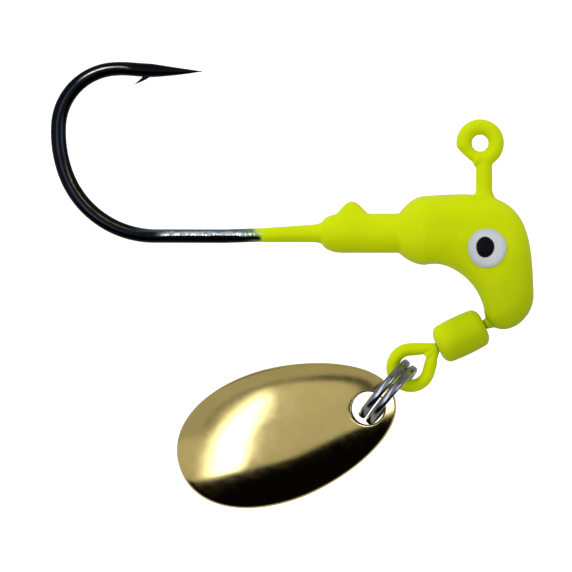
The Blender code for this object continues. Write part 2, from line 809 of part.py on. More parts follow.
def build_swivel(steel, paint):
    mid = Vector((BARREL_MID_X, 0.0, BARREL_MID_Z))
    anchor_loop = Vector((ANCHOR_LOOP_X, 0.0, ANCHOR_LOOP_Z))
    anchor = swivel_eye(1, anchor_loop, ANCHOR_LOOP_R, ANCHOR_WRAP, ANCHOR_TAIL)
    emit("swivel_anchor_eye", *wire(*anchor, SWIVEL_SIDES), steel)
    half = BARREL_LENGTH / 2.0
    hole = SWIVEL_WIRE_R + RUNNING_GAP
    metal = lathe(barrel_metal(half, hole), mid, SWIVEL_AXIS_DEG, BARREL_SIDES)
    emit("swivel_barrel", *metal, steel, mid)
    skin = lathe(barrel_skin(half, hole + PAINT_HOLE_STEP), mid, SWIVEL_AXIS_DEG, BARREL_SIDES)
    emit("barrel_paint", *skin, paint, mid)
    blade_loop = Vector((BLADE_EYE_X, 0.0, BLADE_EYE_Z))
    size = (blade_loop, BLADE_EYE_R, BLADE_EYE_WRAP, BLADE_EYE_TAIL)
    origin = mid - heading(SWIVEL_AXIS_DEG) * half
    emit("swivel_blade_eye", *wire(*swivel_eye(-1, *size), SWIVEL_SIDES), steel, origin)
    coated, _ = swivel_eye(-1, *size, from_barrel=EYE_PAINT_FROM)
    coated.run(PAINT_GAP)
    thin = SWIVEL_WIRE_R + PAINT_GAP + EYE_PAINT_EDGE
    medium = (thin + BLADE_EYE_PAINT_R) / 2.0
    count = len(coated.points)
    outer = [thin, medium, medium] + [BLADE_EYE_PAINT_R] * (count - 3)
    inner = [SWIVEL_WIRE_R + PAINT_GAP] * count
    eye_paint = sleeve(coated, outer, inner, SWIVEL_SIDES, PAINT_CAP)
    emit("blade_eye_paint", *eye_paint, paint, origin)


def build_blade(look):
    origin = (BLADE_HOLE_X, BLADE_RIM_Y - BLADE_CUP / 2.0, BLADE_HOLE_Z)
    blade = emit("spinner_blade", *blade_shell(), look, origin)
    cut(blade, cutter("blade_hole", *blade_punch()))


for old in list(bpy.data.objects):
    bpy.data.objects.remove(old, do_unlink=True)

black_nickel = material("black_nickel", (0.035, 0.035, 0.045), 0.95, 0.22)
lead_metal = material("lead", (0.30, 0.31, 0.33), 0.90, 0.60)
chartreuse = material("chartreuse_paint", (0.58, 0.75, 0.01), 0.0, 0.20)
white_paint = material("eye_white_paint", (0.80, 0.82, 0.84), 0.0, 0.25)
black_paint = material("eye_black_paint", (0.01, 0.01, 0.012), 0.0, 0.20)
swivel_steel = material("swivel_steel", (0.45, 0.45, 0.47), 0.95, 0.30)
ring_nickel = material("ring_nickel", (0.22, 0.22, 0.24), 0.95, 0.18)
gold_plate = material("gold_plate", (0.72, 0.55, 0.20), 1.0, 0.14)

hook_path, stem_start, shank_start = build_hook(black_nickel)
head_skin = build_head(hook_path, stem_start, shank_start, lead_metal, chartreuse)
build_line_tie_paint(hook_path, stem_start, chartreuse)
build_shank_paint(hook_path, chartreuse)
build_eyes(head_skin, white_paint, black_paint)
build_swivel(swivel_steel, chartreuse)
emit("split_ring", *split_ring(), ring_nickel, (RING_PIVOT_X, 0.0, RING_PIVOT_Z))
build_blade(gold_plate)
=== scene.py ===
"""Looks for the spinnerbait: fine meshes, finishes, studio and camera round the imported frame.

Lengths are in millimetres and are scaled to metres as each mesh is made. Angles are in
degrees, turned up from +X in the lure's mid-plane, y = 0.
"""

import bpy
import bmesh
import json
import math
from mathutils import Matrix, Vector
from mathutils.bvhtree import BVHTree


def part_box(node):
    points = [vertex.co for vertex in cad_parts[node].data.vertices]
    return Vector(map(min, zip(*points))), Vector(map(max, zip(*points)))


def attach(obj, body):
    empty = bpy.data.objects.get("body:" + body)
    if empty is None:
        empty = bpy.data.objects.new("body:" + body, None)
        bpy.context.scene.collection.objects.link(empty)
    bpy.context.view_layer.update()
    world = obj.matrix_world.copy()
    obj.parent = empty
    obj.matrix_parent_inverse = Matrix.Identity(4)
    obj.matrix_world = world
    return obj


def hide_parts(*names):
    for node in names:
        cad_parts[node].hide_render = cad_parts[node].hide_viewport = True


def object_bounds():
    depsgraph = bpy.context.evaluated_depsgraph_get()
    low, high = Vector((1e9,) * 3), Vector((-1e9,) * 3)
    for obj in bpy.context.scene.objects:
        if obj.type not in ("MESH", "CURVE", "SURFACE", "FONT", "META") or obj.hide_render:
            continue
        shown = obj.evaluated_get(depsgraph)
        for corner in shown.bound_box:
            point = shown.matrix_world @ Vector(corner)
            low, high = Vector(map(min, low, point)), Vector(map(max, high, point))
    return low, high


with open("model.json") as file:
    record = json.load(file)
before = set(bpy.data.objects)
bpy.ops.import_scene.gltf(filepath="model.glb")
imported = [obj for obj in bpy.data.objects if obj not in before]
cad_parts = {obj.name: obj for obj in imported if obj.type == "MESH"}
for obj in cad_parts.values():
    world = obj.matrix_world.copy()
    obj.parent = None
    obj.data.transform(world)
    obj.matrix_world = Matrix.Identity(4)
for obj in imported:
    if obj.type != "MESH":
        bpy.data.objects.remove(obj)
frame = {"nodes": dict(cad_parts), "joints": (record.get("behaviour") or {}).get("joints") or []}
CAD_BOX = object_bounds()
MM = 0.001
JOINTS = {joint["name"]: joint for joint in frame["joints"]}


def box_mm(node):
    low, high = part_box(node)
    return Vector(low) / MM, Vector(high) / MM


def joint_mm(name):
    return Vector(JOINTS[name]["pos_m"]) / MM


# ---------------------------------------------------------------- sizes

COAT_LOW, COAT_HIGH = box_mm("head_paint_coat")
WHITE_LOW, WHITE_HIGH = box_mm("eye_white_right")
PUPIL_LOW, PUPIL_HIGH = box_mm("eye_pupil_right")
SHANK_LOW, SHANK_HIGH = box_mm("shank_paint")
SHANK_MID_Z = (SHANK_LOW.z + SHANK_HIGH.z) / 2.0 - 0.06
PAINT_EDGE = -16.62
VOXEL_SKIN = 0.075
VOXEL_LOOP = 0.05

LINE_TIE_R = 1.207
TAIL = 0.35
TAIL_HEADING = 148.0
WRAP = 288.0
NECK = 0.202
NECK_BEND_R = 0.90
NECK_BEND = 50.0
STEM_LENGTH = 3.136
TIE_PAINT_R = 0.588
STEM_PAINT_R = 0.620
WEB_FROM = 254.0
WEB_TURN = 38.0
TAIL_CUT = 0.31
TAIL_CUT_FROM = 188.0
TAIL_CUT_OVER = 37.0

HOOK_R = 0.515
HOOK_R_UNDER_PAINT = 0.47
FORGED = 0.060
HOOK_INSET = 0.011
ELBOW_R = 1.50
ELBOW_TURN = 88.03
SHANK_IN_HEAD = 10.80
SHANK_BARE = 7.03
KICK_R = 8.0
KICK_TURN = 2.13
SHANK_BACK = 5.20
HOOK_BENDS = ((7.136, 69.64), (9.098, 23.63), (4.472, 81.73), (7.955, 9.6))
SPEAR_R = 53.4
SPEAR_TURN = 5.81
NEEDLE = 3.75
NEEDLE_TIP_R = 0.03
BARB_FRONT = 3.15
BARB_BACK = 4.05
BARB_TIP_BACK = 4.95
BARB_REACH = 1.10

PIVOT = Vector((-4.13, 0.0, -13.47))
INNER_R = 4.54
CROWN = COAT_HIGH.z - PIVOT.z + 0.012
FACE = 8.199
CORNER_POWER = 4.32
CROWN_TILT = 1.52
INNER_EASE = 0.22
CROWN_EASE = 0.10
EASE_FROM = 0.30
FAN_END = 14.0
HEAD_WIDE = COAT_HIGH.y
CHIN_WIDE = 1.70
CHIN_DEPTH = 2.02
HEAD_POWER = 2.3
COLLAR_BACK = COAT_LOW.x
COLLAR_FRONT = -6.10
COLLAR_Z = -6.76
COLLAR_R = 1.48
COLLAR_END_R = 0.74
COLLAR_ROUND = 1.58
SPUR_X = -9.62
SPUR_BACK = 1.22
SPUR_FRONT = 1.28
SPUR_HEIGHT = 0.93
SPUR_NARROW = 7.0
SHANK_PAINT_R = 0.70
SHANK_PAINT_END_R = 0.54
SHANK_PAINT_FEATHER = 0.085
SHANK_FLARE = 0.10

SWIVEL_MID = joint_mm("barrel_spin")
SWIVEL_DEG = math.degrees(math.atan2(
    JOINTS["barrel_spin"]["axis"][2], JOINTS["barrel_spin"]["axis"][0]))
BARREL_R = 1.515
BARREL_HALF = 1.83
BARREL_END_R = 0.68
BARREL_END_SHARE = 0.72
BARREL_SHELL = 0.34
BARREL_ROOM_R = 0.95
BARREL_BULGE = 0.06
BARREL_COAT = 0.09
BARREL_DOME = 0.13
SWIVEL_WIRE_R = 0.345
ANCHOR_LOOP = Vector((1.94, 0.0, -12.42))
ANCHOR_LOOP_R = 0.72
LOOP = Vector((-5.20, 0.0, -16.84))
LOOP_R = 1.37
LOOP_WRAP = 252.0
LOOP_TAIL = 1.12
LOOP_PAINT_R = 0.475
LOOP_ROOT_R = 0.355
LOOP_CROTCH = Vector((-4.06, 0.0, -16.04))
NECK_STUB = 0.26
END_CLEARANCE = 0.02
WIRE_CLEARANCE = 0.07

RING = Vector((-6.775, 0.30, -18.790))
RING_R = 2.52
RING_LEAN = 50.0
RING_TILT = 5.5
RING_RADIAL = 0.513
RING_AXIAL = 0.605
RING_PITCH = 0.71
RING_SHIFT = -0.16
RING_JOG = 36.0
RING_JOG_AT = 270.0
RING_START_GAP = 24.0
RING_END_GAP = 50.0
RING_END_SPREAD = 0.26
RING_SPREAD_FROM = 60.0

BLADE = Vector((-14.476, 0.0, -21.742))
BLADE_LEAN = 18.63
BLADE_LONG = 8.545
BLADE_WIDE = 5.002
BLADE_FULLNESS = 0.930
BLADE_EGG = 0.131
BLADE_TAPER = 1.0365
BLADE_CUP = 1.45
BLADE_CUP_POWER = 2.6
BLADE_RIM_Y = 1.95
BLADE_THICK = 0.46
BLADE_RIM_ROUND = 0.16
BLADE_STEPS = 720
HOLE = joint_mm("blade_swing")
HOLE_R = 1.235
HOLE_ROUND = 0.12

CAMERA_X = -14.56
CAMERA_Z = -10.72
LENS = 250.0
SENSOR = 36.0
VIEW_WIDTH = 42.9
OBJECT_MIDDLE = (-12.0, 0.0, -14.0)
FLOOR_DROP = 12.0


# ---------------------------------------------------------------- drawing

def heading(degrees):
    """A unit vector in the lure's mid-plane, turned up from +X."""
    angle = math.radians(degrees)
    return Vector((math.cos(angle), 0.0, math.sin(angle)))


SIDEWAYS = Vector((0.0, 1.0, 0.0))
DOME_HEIGHT = 0.6


class Track:
    """A path in the mid-plane made of straight runs and arcs, sampled finely.

    arcs holds each arc's centre and radius, in the order they were drawn.
    """

    def __init__(self, start, degrees, step=3.0, spacing=0.25):
        self.points = [Vector(start)]
        self.angles = [degrees]
        self.degrees = degrees
        self.step = step
        self.spacing = spacing
        self.arcs = []

    def run(self, length):
        steps = max(1, round(length / self.spacing))
        for _ in range(steps):
            self.points.append(self.points[-1] + heading(self.degrees) * (length / steps))
            self.angles.append(self.degrees)
        return self

    def arc(self, radius, turn):
        count = max(2, math.ceil(abs(turn) / self.step))
        side = math.copysign(1.0, turn)
        centre = self.points[-1] + heading(self.degrees + side * 90.0) * radius
        self.arcs.append((centre, radius))
        for _ in range(count):
            self.degrees += turn / count
            self.points.append(centre - heading(self.degrees + side * 90.0) * radius)
            self.angles.append(self.degrees)
        return self

    def lengths(self):
        total = [0.0]
        for before, after in zip(self.points, self.points[1:]):
            total.append(total[-1] + (after - before).length)
        return total


def bridge(rings, closed=False):
    """Joins rings of points into a skin: capped at both ends, or closed on itself."""
    sides = len(rings[0])
    verts = [p for ring in rings for p in ring]
    count = len(rings)
    faces = []
    for i in range(count if closed else count - 1):
        low = i * sides
        high = ((i + 1) % count) * sides
        for j in range(sides):
            k = (j + 1) % sides
            faces.append((low + j, low + k, high + k, high + j))
    if not closed:
        faces.append(tuple(range(sides))[::-1])
        faces.append(tuple(range((count - 1) * sides, count * sides)))
    return verts, faces


def wire_ring(centre, degrees, radius, sides):
    across = heading(degrees + 90.0)
    return [
        centre + across * (radius * math.cos(t)) + SIDEWAYS * (radius * math.sin(t))
        for t in (2.0 * math.pi * j / sides for j in range(sides))
    ]


def tube(points, angles, radii, sides=28, round_start=False, round_end=False):
    """A swept round bar; a rounded end goes on past its last point as a flat dome."""
    rings = [wire_ring(p, a, r, sides) for p, a, r in zip(points, angles, radii)]

    def dome(end, outward):
        centre, angle, radius = points[end], angles[end], radii[end]
        for turn in (math.radians(a) for a in (20.0, 40.0, 58.0, 74.0, 86.0)):
            place = centre + heading(angle) * (outward * DOME_HEIGHT * radius * math.sin(turn))
            yield wire_ring(place, angle, radius * math.cos(turn), sides)

    if round_end:
        rings += dome(-1, 1.0)
    if round_start:
        rings = list(dome(0, -1.0))[::-1] + rings
    return bridge(rings)


def straight(start, end, first, last, sides=28, steps=10, power=1.0):
    """A straight bar whose radius eases from first to last."""
    reach = end - start
    degrees = math.degrees(math.atan2(reach.z, reach.x))
    points = [start + reach * (i / steps) for i in range(steps + 1)]
    radii = [last + (first - last) * (1.0 - i / steps) ** power for i in range(steps + 1)]
    return tube(points, [degrees] * (steps + 1), radii, sides)


def joined(shells):
    """Several shells as one list of points and faces."""
    verts = []
    faces = []
    for v, f in shells:
        base = len(verts)
        verts += v
        faces += [tuple(i + base for i in face) for face in f]
    return verts, faces


def raw_mesh(name, verts, faces, scale):
    mesh = bpy.data.meshes.new(name)
    mesh.from_pydata([Vector(v) * scale for v in verts], [], faces)
    work = bmesh.new()
    work.from_mesh(mesh)
    bmesh.ops.recalc_face_normals(work, faces=work.faces)
    work.to_mesh(mesh)
    work.free()
    return mesh


def finish_piece(mesh, name, looks, body, stands_for, sharp_deg):
    mesh.polygons.foreach_set("use_smooth", [True] * len(mesh.polygons))
    if sharp_deg:
        mesh.set_sharp_from_angle(angle=math.radians(sharp_deg))
    mesh.materials.clear()
    for look in looks:
        mesh.materials.append(look)
    piece = bpy.data.objects.new(name, mesh)
    bpy.context.scene.collection.objects.link(piece)
    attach(piece, body)
    if stands_for:
        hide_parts(*stands_for)
    return piece


def solid(name, shell, look, body, stands_for=(), sharp_deg=0.0):
    mesh = raw_mesh(name, *shell, MM)
    return finish_piece(mesh, name, [look], body, stands_for, sharp_deg)


def evaluated(mesh, name, setups, scale):
    """The mesh after the given modifiers, as a new mesh."""
    temp = bpy.data.objects.new(name + "_temp", mesh)
    bpy.context.scene.collection.objects.link(temp)
    for kind, settings in setups:
        modifier = temp.modifiers.new(kind, kind)
        for key, value in settings.items():
            setattr(modifier, key, value)
    bpy.context.view_layer.update()
    graph = bpy.context.evaluated_depsgraph_get()
    made = bpy.data.meshes.new_from_object(temp.evaluated_get(graph))
    bpy.data.objects.remove(temp)
    if scale != 1.0:
        for vertex in made.vertices:
            vertex.co *= scale
    made.name = name
    return made


def cast(name, shells, voxel, passes, look, body, stands_for=()):
    """Overlapping closed shells melted into one skin with soft fillets."""
    mesh = raw_mesh(name, *joined(shells), 1.0)
    made = evaluated(mesh, name, (
        ("REMESH", {"mode": "VOXEL", "voxel_size": voxel}),
        ("SMOOTH", {"factor": 0.5, "iterations": passes}),
    ), MM)
    return finish_piece(made, name, [look], body, stands_for, 0.0)


# ---------------------------------------------------------------- finishes

RANGE_SOCKETS = ("From Min", "From Max", "To Min", "To Max")


class Finish:
    """Builds one procedural material; texture space is millimetres of the object."""

    def __init__(self, name):
        self.material = bpy.data.materials.new(name)
        self.material.use_nodes = True
        self.tree = self.material.node_tree
        self.shader = self.tree.nodes["Principled BSDF"]
        coordinate = self.tree.nodes.new("ShaderNodeTexCoord")
        self.place = self.tree.nodes.new("ShaderNodeMapping")
        self.place.inputs["Scale"].default_value = (1000.0, 1000.0, 1000.0)
        self.link(coordinate.outputs["Object"], self.place.inputs["Vector"])

    def link(self, source, target):
        self.tree.links.new(source, target)

    def set(self, **values):
        for key, value in values.items():
            self.shader.inputs[key.replace("_", " ")].default_value = value

    def stretched(self, scale, turn_deg=0.0):
        node = self.tree.nodes.new("ShaderNodeMapping")
        node.inputs["Scale"].default_value = scale
        node.inputs["Rotation"].default_value = (0.0, math.radians(turn_deg), 0.0)
        self.link(self.place.outputs["Vector"], node.inputs["Vector"])
        return node.outputs["Vector"]

    def noise(self, scale, detail=3.0, roughness=0.55, distortion=0.0, vector=None):
        node = self.tree.nodes.new("ShaderNodeTexNoise")
        node.inputs["Scale"].default_value = scale
        node.inputs["Detail"].default_value = detail
        node.inputs["Roughness"].default_value = roughness
        node.inputs["Distortion"].default_value = distortion
        self.link(vector or self.place.outputs["Vector"], node.inputs["Vector"])
        return node.outputs["Fac"]

    def cells(self, scale, vector=None):
        node = self.tree.nodes.new("ShaderNodeTexVoronoi")
        node.inputs["Scale"].default_value = scale
        self.link(vector or self.place.outputs["Vector"], node.inputs["Vector"])
        return node.outputs["Distance"]

    def ramp(self, source, stops):
        node = self.tree.nodes.new("ShaderNodeValToRGB")
        elements = node.color_ramp.elements
        while len(elements) < len(stops):
            elements.new(0.5)
        for element, (place, colour) in zip(elements, stops):
            element.position = place
            element.color = (*colour, 1.0)
        self.link(source, node.inputs["Fac"])
        return node.outputs["Color"]

    def span(self, source, low, high, to_low, to_high, smooth=False):
        node = self.tree.nodes.new("ShaderNodeMapRange")
        node.interpolation_type = "SMOOTHSTEP" if smooth else "LINEAR"
        for key, value in zip(RANGE_SOCKETS, (low, high, to_low, to_high)):
            node.inputs[key].default_value = value
        self.link(source, node.inputs["Value"])
        return node.outputs["Result"]

    def math(self, operation, first, second=0.0):
        node = self.tree.nodes.new("ShaderNodeMath")
        node.operation = operation
        for socket, value in zip(node.inputs, (first, second)):
            if isinstance(value, (int, float)):
                socket.default_value = value
            else:
                self.link(value, socket)
        return node.outputs["Value"]

    def times(self, first, *others):
        for other in others:
            first = self.math("MULTIPLY", first, other)
        return first

    def blend(self, factor, first, second):
        """A mix of two colours; sockets 6 and 7 are the node's colour inputs A and B."""
        node = self.tree.nodes.new("ShaderNodeMix")
        node.data_type = "RGBA"
        sockets = (node.inputs["Factor"], node.inputs[6], node.inputs[7])
        for socket, value in zip(sockets, (factor, first, second)):
            if isinstance(value, (int, float)):
                socket.default_value = value
            elif isinstance(value, tuple):
                socket.default_value = (*value, 1.0)
            else:
                self.link(value, socket)
        return node.outputs[2]

    def axis(self, letter):
        node = self.tree.nodes.new("ShaderNodeSeparateXYZ")
        self.link(self.place.outputs["Vector"], node.inputs["Vector"])
        return node.outputs[letter]

    def from_middle(self, low, high):
        """0 in the middle of a box seen from the side, growing to 1 at its inscribed oval."""
        total = 0.0
        for letter, start, end in (("X", low.x, high.x), ("Z", low.z, high.z)):
            away = self.math("SUBTRACT", self.axis(letter), (start + end) / 2.0)
            share = self.math("DIVIDE", away, (end - start) / 2.0)
            total = self.math("ADD", total, self.times(share, share))
        return total

    def distance(self, centre):
        """How far a place is from a line across the lure, with its parts along X and Z."""
        right = self.math("SUBTRACT", self.axis("X"), centre.x)
        up = self.math("SUBTRACT", self.axis("Z"), centre.z)
        squares = self.math("ADD", self.times(right, right), self.times(up, up))
        return self.math("SQRT", squares), right, up

    def wire(self, **sources):
        """Drives the shader's sockets from node outputs."""
        for key, source in sources.items():
            self.link(source, self.shader.inputs[key.replace("_", " ")])

    def bump(self, *layers):
        """Each layer is (height, strength, depth in mm); they stack."""
        below = None
        for height, strength, depth in layers:
            node = self.tree.nodes.new("ShaderNodeBump")
            node.inputs["Strength"].default_value = strength
            node.inputs["Distance"].default_value = depth * MM
            self.link(height, node.inputs["Height"])
            if below:
                self.link(below, node.inputs["Normal"])
            below = node.outputs["Normal"]
        self.link(below, self.shader.inputs["Normal"])


PAINT_LIGHT = (0.655, 0.775, 0.0)
PAINT_MID = (0.600, 0.725, 0.0)
PAINT_CHIN_SHADE = (0.330, 0.440, 0.0)
PAINT_GRAIN = (0.45, 0.56, 0.0)
PAINT_SPECK = (0.30, 0.34, 0.02)
PAINT_GLINT = (0.88, 0.92, 0.35)
PAINT_ON_WIRE = (0.60, 0.73, 0.0)
PAINT_MIST = (0.30, 0.50, 0.22)
GLINT_LINE_Z = -6.85
GLINT_LINE_SLOPE = -0.12
NICKEL_BLUE = (0.005, 0.007, 0.011)
NICKEL_GREY = (0.009, 0.011, 0.014)
NICKEL_BROWN = (0.017, 0.013, 0.010)
NICKEL_SCUFF = (0.06, 0.06, 0.06)
SHANK_TOP_REFLECTION = (0.15, 0.20, 0.27)
GOLD_DEEP = (0.730, 0.570, 0.190)
GOLD_LIGHT = (0.820, 0.660, 0.260)
GOLD_SCRATCH = (0.46, 0.34, 0.12)
GOLD_STAIN = (0.52, 0.36, 0.12)
GOLD_BURR = (0.05, 0.035, 0.015)
RING_DARK = (0.17, 0.17, 0.172)
RING_LIGHT = (0.38, 0.385, 0.38)
RING_GRIME = (0.06, 0.055, 0.05)
STEEL_DARK = (0.36, 0.36, 0.37)
STEEL_LIGHT = (0.52, 0.52, 0.52)
WIRE_BARE = (0.30, 0.30, 0.30)
WIRE_PAINT_SHADE = (0.150, 0.195, 0.012)
LEAD_DARK = (0.20, 0.21, 0.23)
LEAD_LIGHT = (0.34, 0.35, 0.37)
WHITE_COOL = (0.600, 0.640, 0.665)
WHITE_WARM = (0.730, 0.755, 0.770)
WHITE_EDGE_SHADE = (0.40, 0.45, 0.46)
WHITE_DUST = (0.45, 0.48, 0.50)
BLACK_DEEP = (0.004, 0.004, 0.005)
BLACK_BODY = (0.005, 0.005, 0.006)
BLACK_THIN = (0.030, 0.018, 0.012)
BLACK_EDGE = (0.10, 0.060, 0.040)
FLOOR_DIM = (0.93, 0.93, 0.93)
FLOOR_PALE = (0.96, 0.96, 0.96)


def paint_finish():
    """Enamel with painted shade: its colour darkens towards the chin and the lower front of the head."""
    f = Finish("chartreuse_enamel")
    f.set(Metallic=0.0, IOR=1.45, Specular_IOR_Level=0.07)
    colour = f.ramp(f.noise(0.45, 4.0), ((0.30, PAINT_MID), (0.70, PAINT_LIGHT)))
    # painted shade: the enamel colour darkens towards the lower front of the head, by the chin
    down = f.math("SUBTRACT", f.times(f.axis("X"), 0.6), f.axis("Z"))
    ahead = f.span(f.axis("X"), -3.6, -1.6, 0.0, 1.0, True)
    chin_shade = f.times(f.span(down, 7.5, 14.5, 0.0, 0.55, True), ahead)
    colour = f.blend(chin_shade, colour, PAINT_CHIN_SHADE)
    grain = f.noise(11.0, 2.0)
    colour = f.blend(f.span(grain, 0.35, 0.70, 0.0, 0.12), colour, PAINT_GRAIN)
    near_speck = f.span(f.cells(1.3), 0.035, 0.060, 0.30, 0.0, True)
    colour = f.blend(near_speck, colour, PAINT_SPECK)
    # painted highlight: pale glints on the cheek behind the eye
    colour = f.blend(glint_mask(f), colour, PAINT_GLINT)
    f.wire(Base_Color=colour, Roughness=f.span(f.noise(1.1, 3.0), 0.25, 0.75, 0.22, 0.40))
    f.bump((f.noise(0.9, 2.0), 0.22, 0.05), (f.noise(6.5, 3.0), 0.12, 0.012))
    return f.material


def glint_mask(f):
    """Painted highlight: small pale glints in a short line on the cheek, just behind the eye."""
    behind_eye = f.times(f.span(f.axis("X"), -3.4, -2.4, 0.0, 1.0),
                         f.span(f.axis("X"), -0.9, -0.4, 1.0, 0.0))
    above = f.math("SUBTRACT", f.axis("Z"), f.times(f.axis("X"), GLINT_LINE_SLOPE))
    off_line = f.math("ABSOLUTE", f.math("SUBTRACT", above, GLINT_LINE_Z))
    glints = f.span(f.cells(3.4), 0.10, 0.16, 0.85, 0.0, True)
    return f.times(glints, behind_eye, f.span(off_line, 0.2, 0.5, 1.0, 0.0))


SHANK_HIGHLIGHT_RAMP = (
    (0.34, (0.30, 0.62, 0.74)), (0.45, (1.0, 1.0, 1.0)),
    (0.62, (1.0, 0.97, 0.92)), (0.72, (0.90, 0.50, 0.26)))

# A painted highlight line along a hook bend: which arc of the track it follows, how far outside the wire's
# axis it lies, its half width, the least and greatest height from the arc's centre that it covers
# as a share of the radius, whether that is below the centre, and its colour.
BEND_HIGHLIGHTS = (
    (-4, -0.26, 0.075, 0.20, 0.9, True, (0.42, 0.27, 0.13)),
    (-2, 0.12, 0.085, 0.72, 1.0, False, (0.62, 0.50, 0.36)),
)


def bend_highlight(f, arc, offset, half_width, low, high, below):
    """The mask of one painted highlight line that follows a hook bend."""
    centre, radius = HOOK.arcs[arc]
    reach, right, up = f.distance(centre)
    off_line = f.math("ABSOLUTE", f.math("SUBTRACT", reach, radius + offset))
    line = f.span(off_line, half_width * 0.3, half_width, 1.0, 0.0, True)
    steep = f.math("DIVIDE", f.math("ABSOLUTE", up), reach)
    starts = f.span(steep, low, low + 0.25, 0.0, 1.0, True)
    stops = f.span(steep, high, high + 0.1, 1.0, 0.0)
    left_side = f.span(right, 0.2, 1.2, 1.0, 0.0, True)
    at_centre = (1.0, 0.0) if below else (0.0, 1.0)
    half = f.span(up, -0.3, 0.3, *at_centre)
    patchy = f.span(f.noise(1.2, 3.0), 0.35, 0.6, 0.35, 1.0)
    return f.times(line, starts, stops, left_side, half, patchy)


def nickel_finish():
    """Black nickel wire, under paint near the head, with painted highlights and a painted reflection on
    the bare shank and bends.
    """
    f = Finish("black_nickel_wire")
    f.set(IOR=1.6)
    tint = f.noise(0.55, 3.0)
    metal = f.ramp(tint, ((0.30, NICKEL_BLUE), (0.55, NICKEL_GREY), (0.75, NICKEL_BROWN)))
    scuffs = f.noise(5.0, 5.0, 0.7, vector=f.stretched((0.35, 2.0, 2.0)))
    metal = f.blend(f.span(scuffs, 0.62, 0.76, 0.0, 0.30), metal, NICKEL_SCUFF)
    # painted highlights: thin bright lines along the hook bends
    for *shape, tone in BEND_HIGHLIGHTS:
        metal = f.blend(bend_highlight(f, *shape), metal, tone)
    above = f.math("SUBTRACT", f.axis("Z"), SHANK_MID_Z)
    low_enough = f.span(above, 1.5, 2.5, 1.0, 0.0)
    on_shank = f.times(f.span(f.axis("X"), -26.5, -24.0, 0.0, 1.0, True), low_enough)
    # painted reflection: the top of the bare shank is coloured lighter and bluer
    sky = f.times(f.span(above, 0.08, 0.30, 0.0, 1.0, True), on_shank)
    metal = f.blend(sky, metal, SHANK_TOP_REFLECTION)
    # painted highlight: a bright streak along the middle of the bare shank
    painted_highlight = shank_highlight_mask(f, above, low_enough)
    highlight_colour = f.ramp(f.noise(1.9, 3.0, vector=f.stretched((1.0, 0.4, 1.4))), SHANK_HIGHLIGHT_RAMP)
    metal = f.blend(painted_highlight, metal, highlight_colour)
    edge = f.math("ADD", f.axis("X"), above)
    edge = f.math("ADD", edge, f.times(f.noise(2.6, 3.0), 0.7))
    mist = f.times(f.span(edge, PAINT_EDGE - 1.3, PAINT_EDGE + 0.20, 0.0, 0.85, True), on_shank)
    metal = f.blend(mist, metal, PAINT_MIST)
    covered = f.times(f.span(edge, PAINT_EDGE + 0.10, PAINT_EDGE + 0.60, 0.0, 1.0, True), low_enough)
    rough = f.span(f.noise(2.2, 4.0), 0.30, 0.75, 0.12, 0.25)
    f.wire(Base_Color=f.blend(covered, metal, PAINT_ON_WIRE),
           Metallic=f.span(covered, 0.0, 0.6, 0.97, 0.0),
           Roughness=f.math("ADD", rough, f.times(covered, 0.12)))
    ripple = f.times(f.noise(1.7, 3.0, vector=f.stretched((1.0, 0.2, 0.2))), painted_highlight)
    f.bump((f.noise(1.2, 2.0), 0.12, 0.03), (scuffs, 0.10, 0.010), (ripple, 0.8, 0.16))
    return f.material


def shank_highlight_mask(f, above, low_enough):
    """Painted highlight: a bright streak along the middle of the bare shank."""
    blotch = f.noise(1.4, 4.0, 0.65, vector=f.stretched((1.0, 0.25, 0.8)))
    off = f.math("ABSOLUTE", f.math("SUBTRACT", above, 0.02))
    painted_highlight = f.span(f.math("ADD", off, f.times(blotch, 0.20)), 0.20, 0.34, 1.0, 0.0, True)
    return f.times(painted_highlight, f.span(f.axis("X"), -24.6, -22.6, 0.0, 1.0, True), low_enough)


def gold_finish():
    """Gold plate with rolling scratches, stains and a dark burr round the punched hole."""
    f = Finish("gold_plate")
    f.set(Metallic=1.0)
    colour = f.ramp(f.noise(0.28, 4.0, 0.6), ((0.30, GOLD_DEEP), (0.70, GOLD_LIGHT)))
    hair = f.noise(2.4, 5.0, 0.75, vector=f.stretched((0.25, 1.0, 5.0), BLADE_LEAN))
    colour = f.blend(f.span(hair, 0.60, 0.75, 0.0, 0.28), colour, GOLD_SCRATCH)
    stain = f.noise(0.9, 6.0, 0.7, 1.2)
    colour = f.blend(f.span(stain, 0.62, 0.74, 0.0, 0.25), colour, GOLD_STAIN)
    from_hole = f.distance(HOLE)[0]
    burr = f.span(from_hole, HOLE_R + 0.07, HOLE_R + 0.13, 0.85, 0.0, True)
    f.wire(Base_Color=f.blend(burr, colour, GOLD_BURR),
           Roughness=f.span(f.noise(1.3, 5.0, 0.65), 0.25, 0.80, 0.09, 0.20))
    f.bump((f.noise(0.35, 2.0), 0.10, 0.08), (hair, 0.05, 0.008))
    return f.material


def ring_finish():
    f = Finish("ring_nickel")
    f.set(Metallic=1.0)
    colour = f.ramp(f.noise(1.1, 4.0, 0.6), ((0.30, RING_DARK), (0.70, RING_LIGHT)))
    grime = f.noise(3.5, 5.0, 0.7)
    colour = f.blend(f.span(grime, 0.56, 0.70, 0.0, 0.55), colour, RING_GRIME)
    f.wire(Base_Color=colour, Roughness=f.span(f.noise(4.0, 4.0), 0.30, 0.75, 0.12, 0.28))
    f.bump((f.noise(5.0, 4.0, vector=f.stretched((1.0, 1.0, 0.4))), 0.12, 0.015))
    return f.material


def steel_finish():
    f = Finish("swivel_steel")
    f.set(Metallic=1.0)
    f.wire(Base_Color=f.ramp(f.noise(1.5, 4.0), ((0.3, STEEL_DARK), (0.7, STEEL_LIGHT))),
           Roughness=f.span(f.noise(6.0, 3.0), 0.3, 0.7, 0.2, 0.38))
    f.bump((f.noise(7.0, 3.0), 0.15, 0.01))
    return f.material


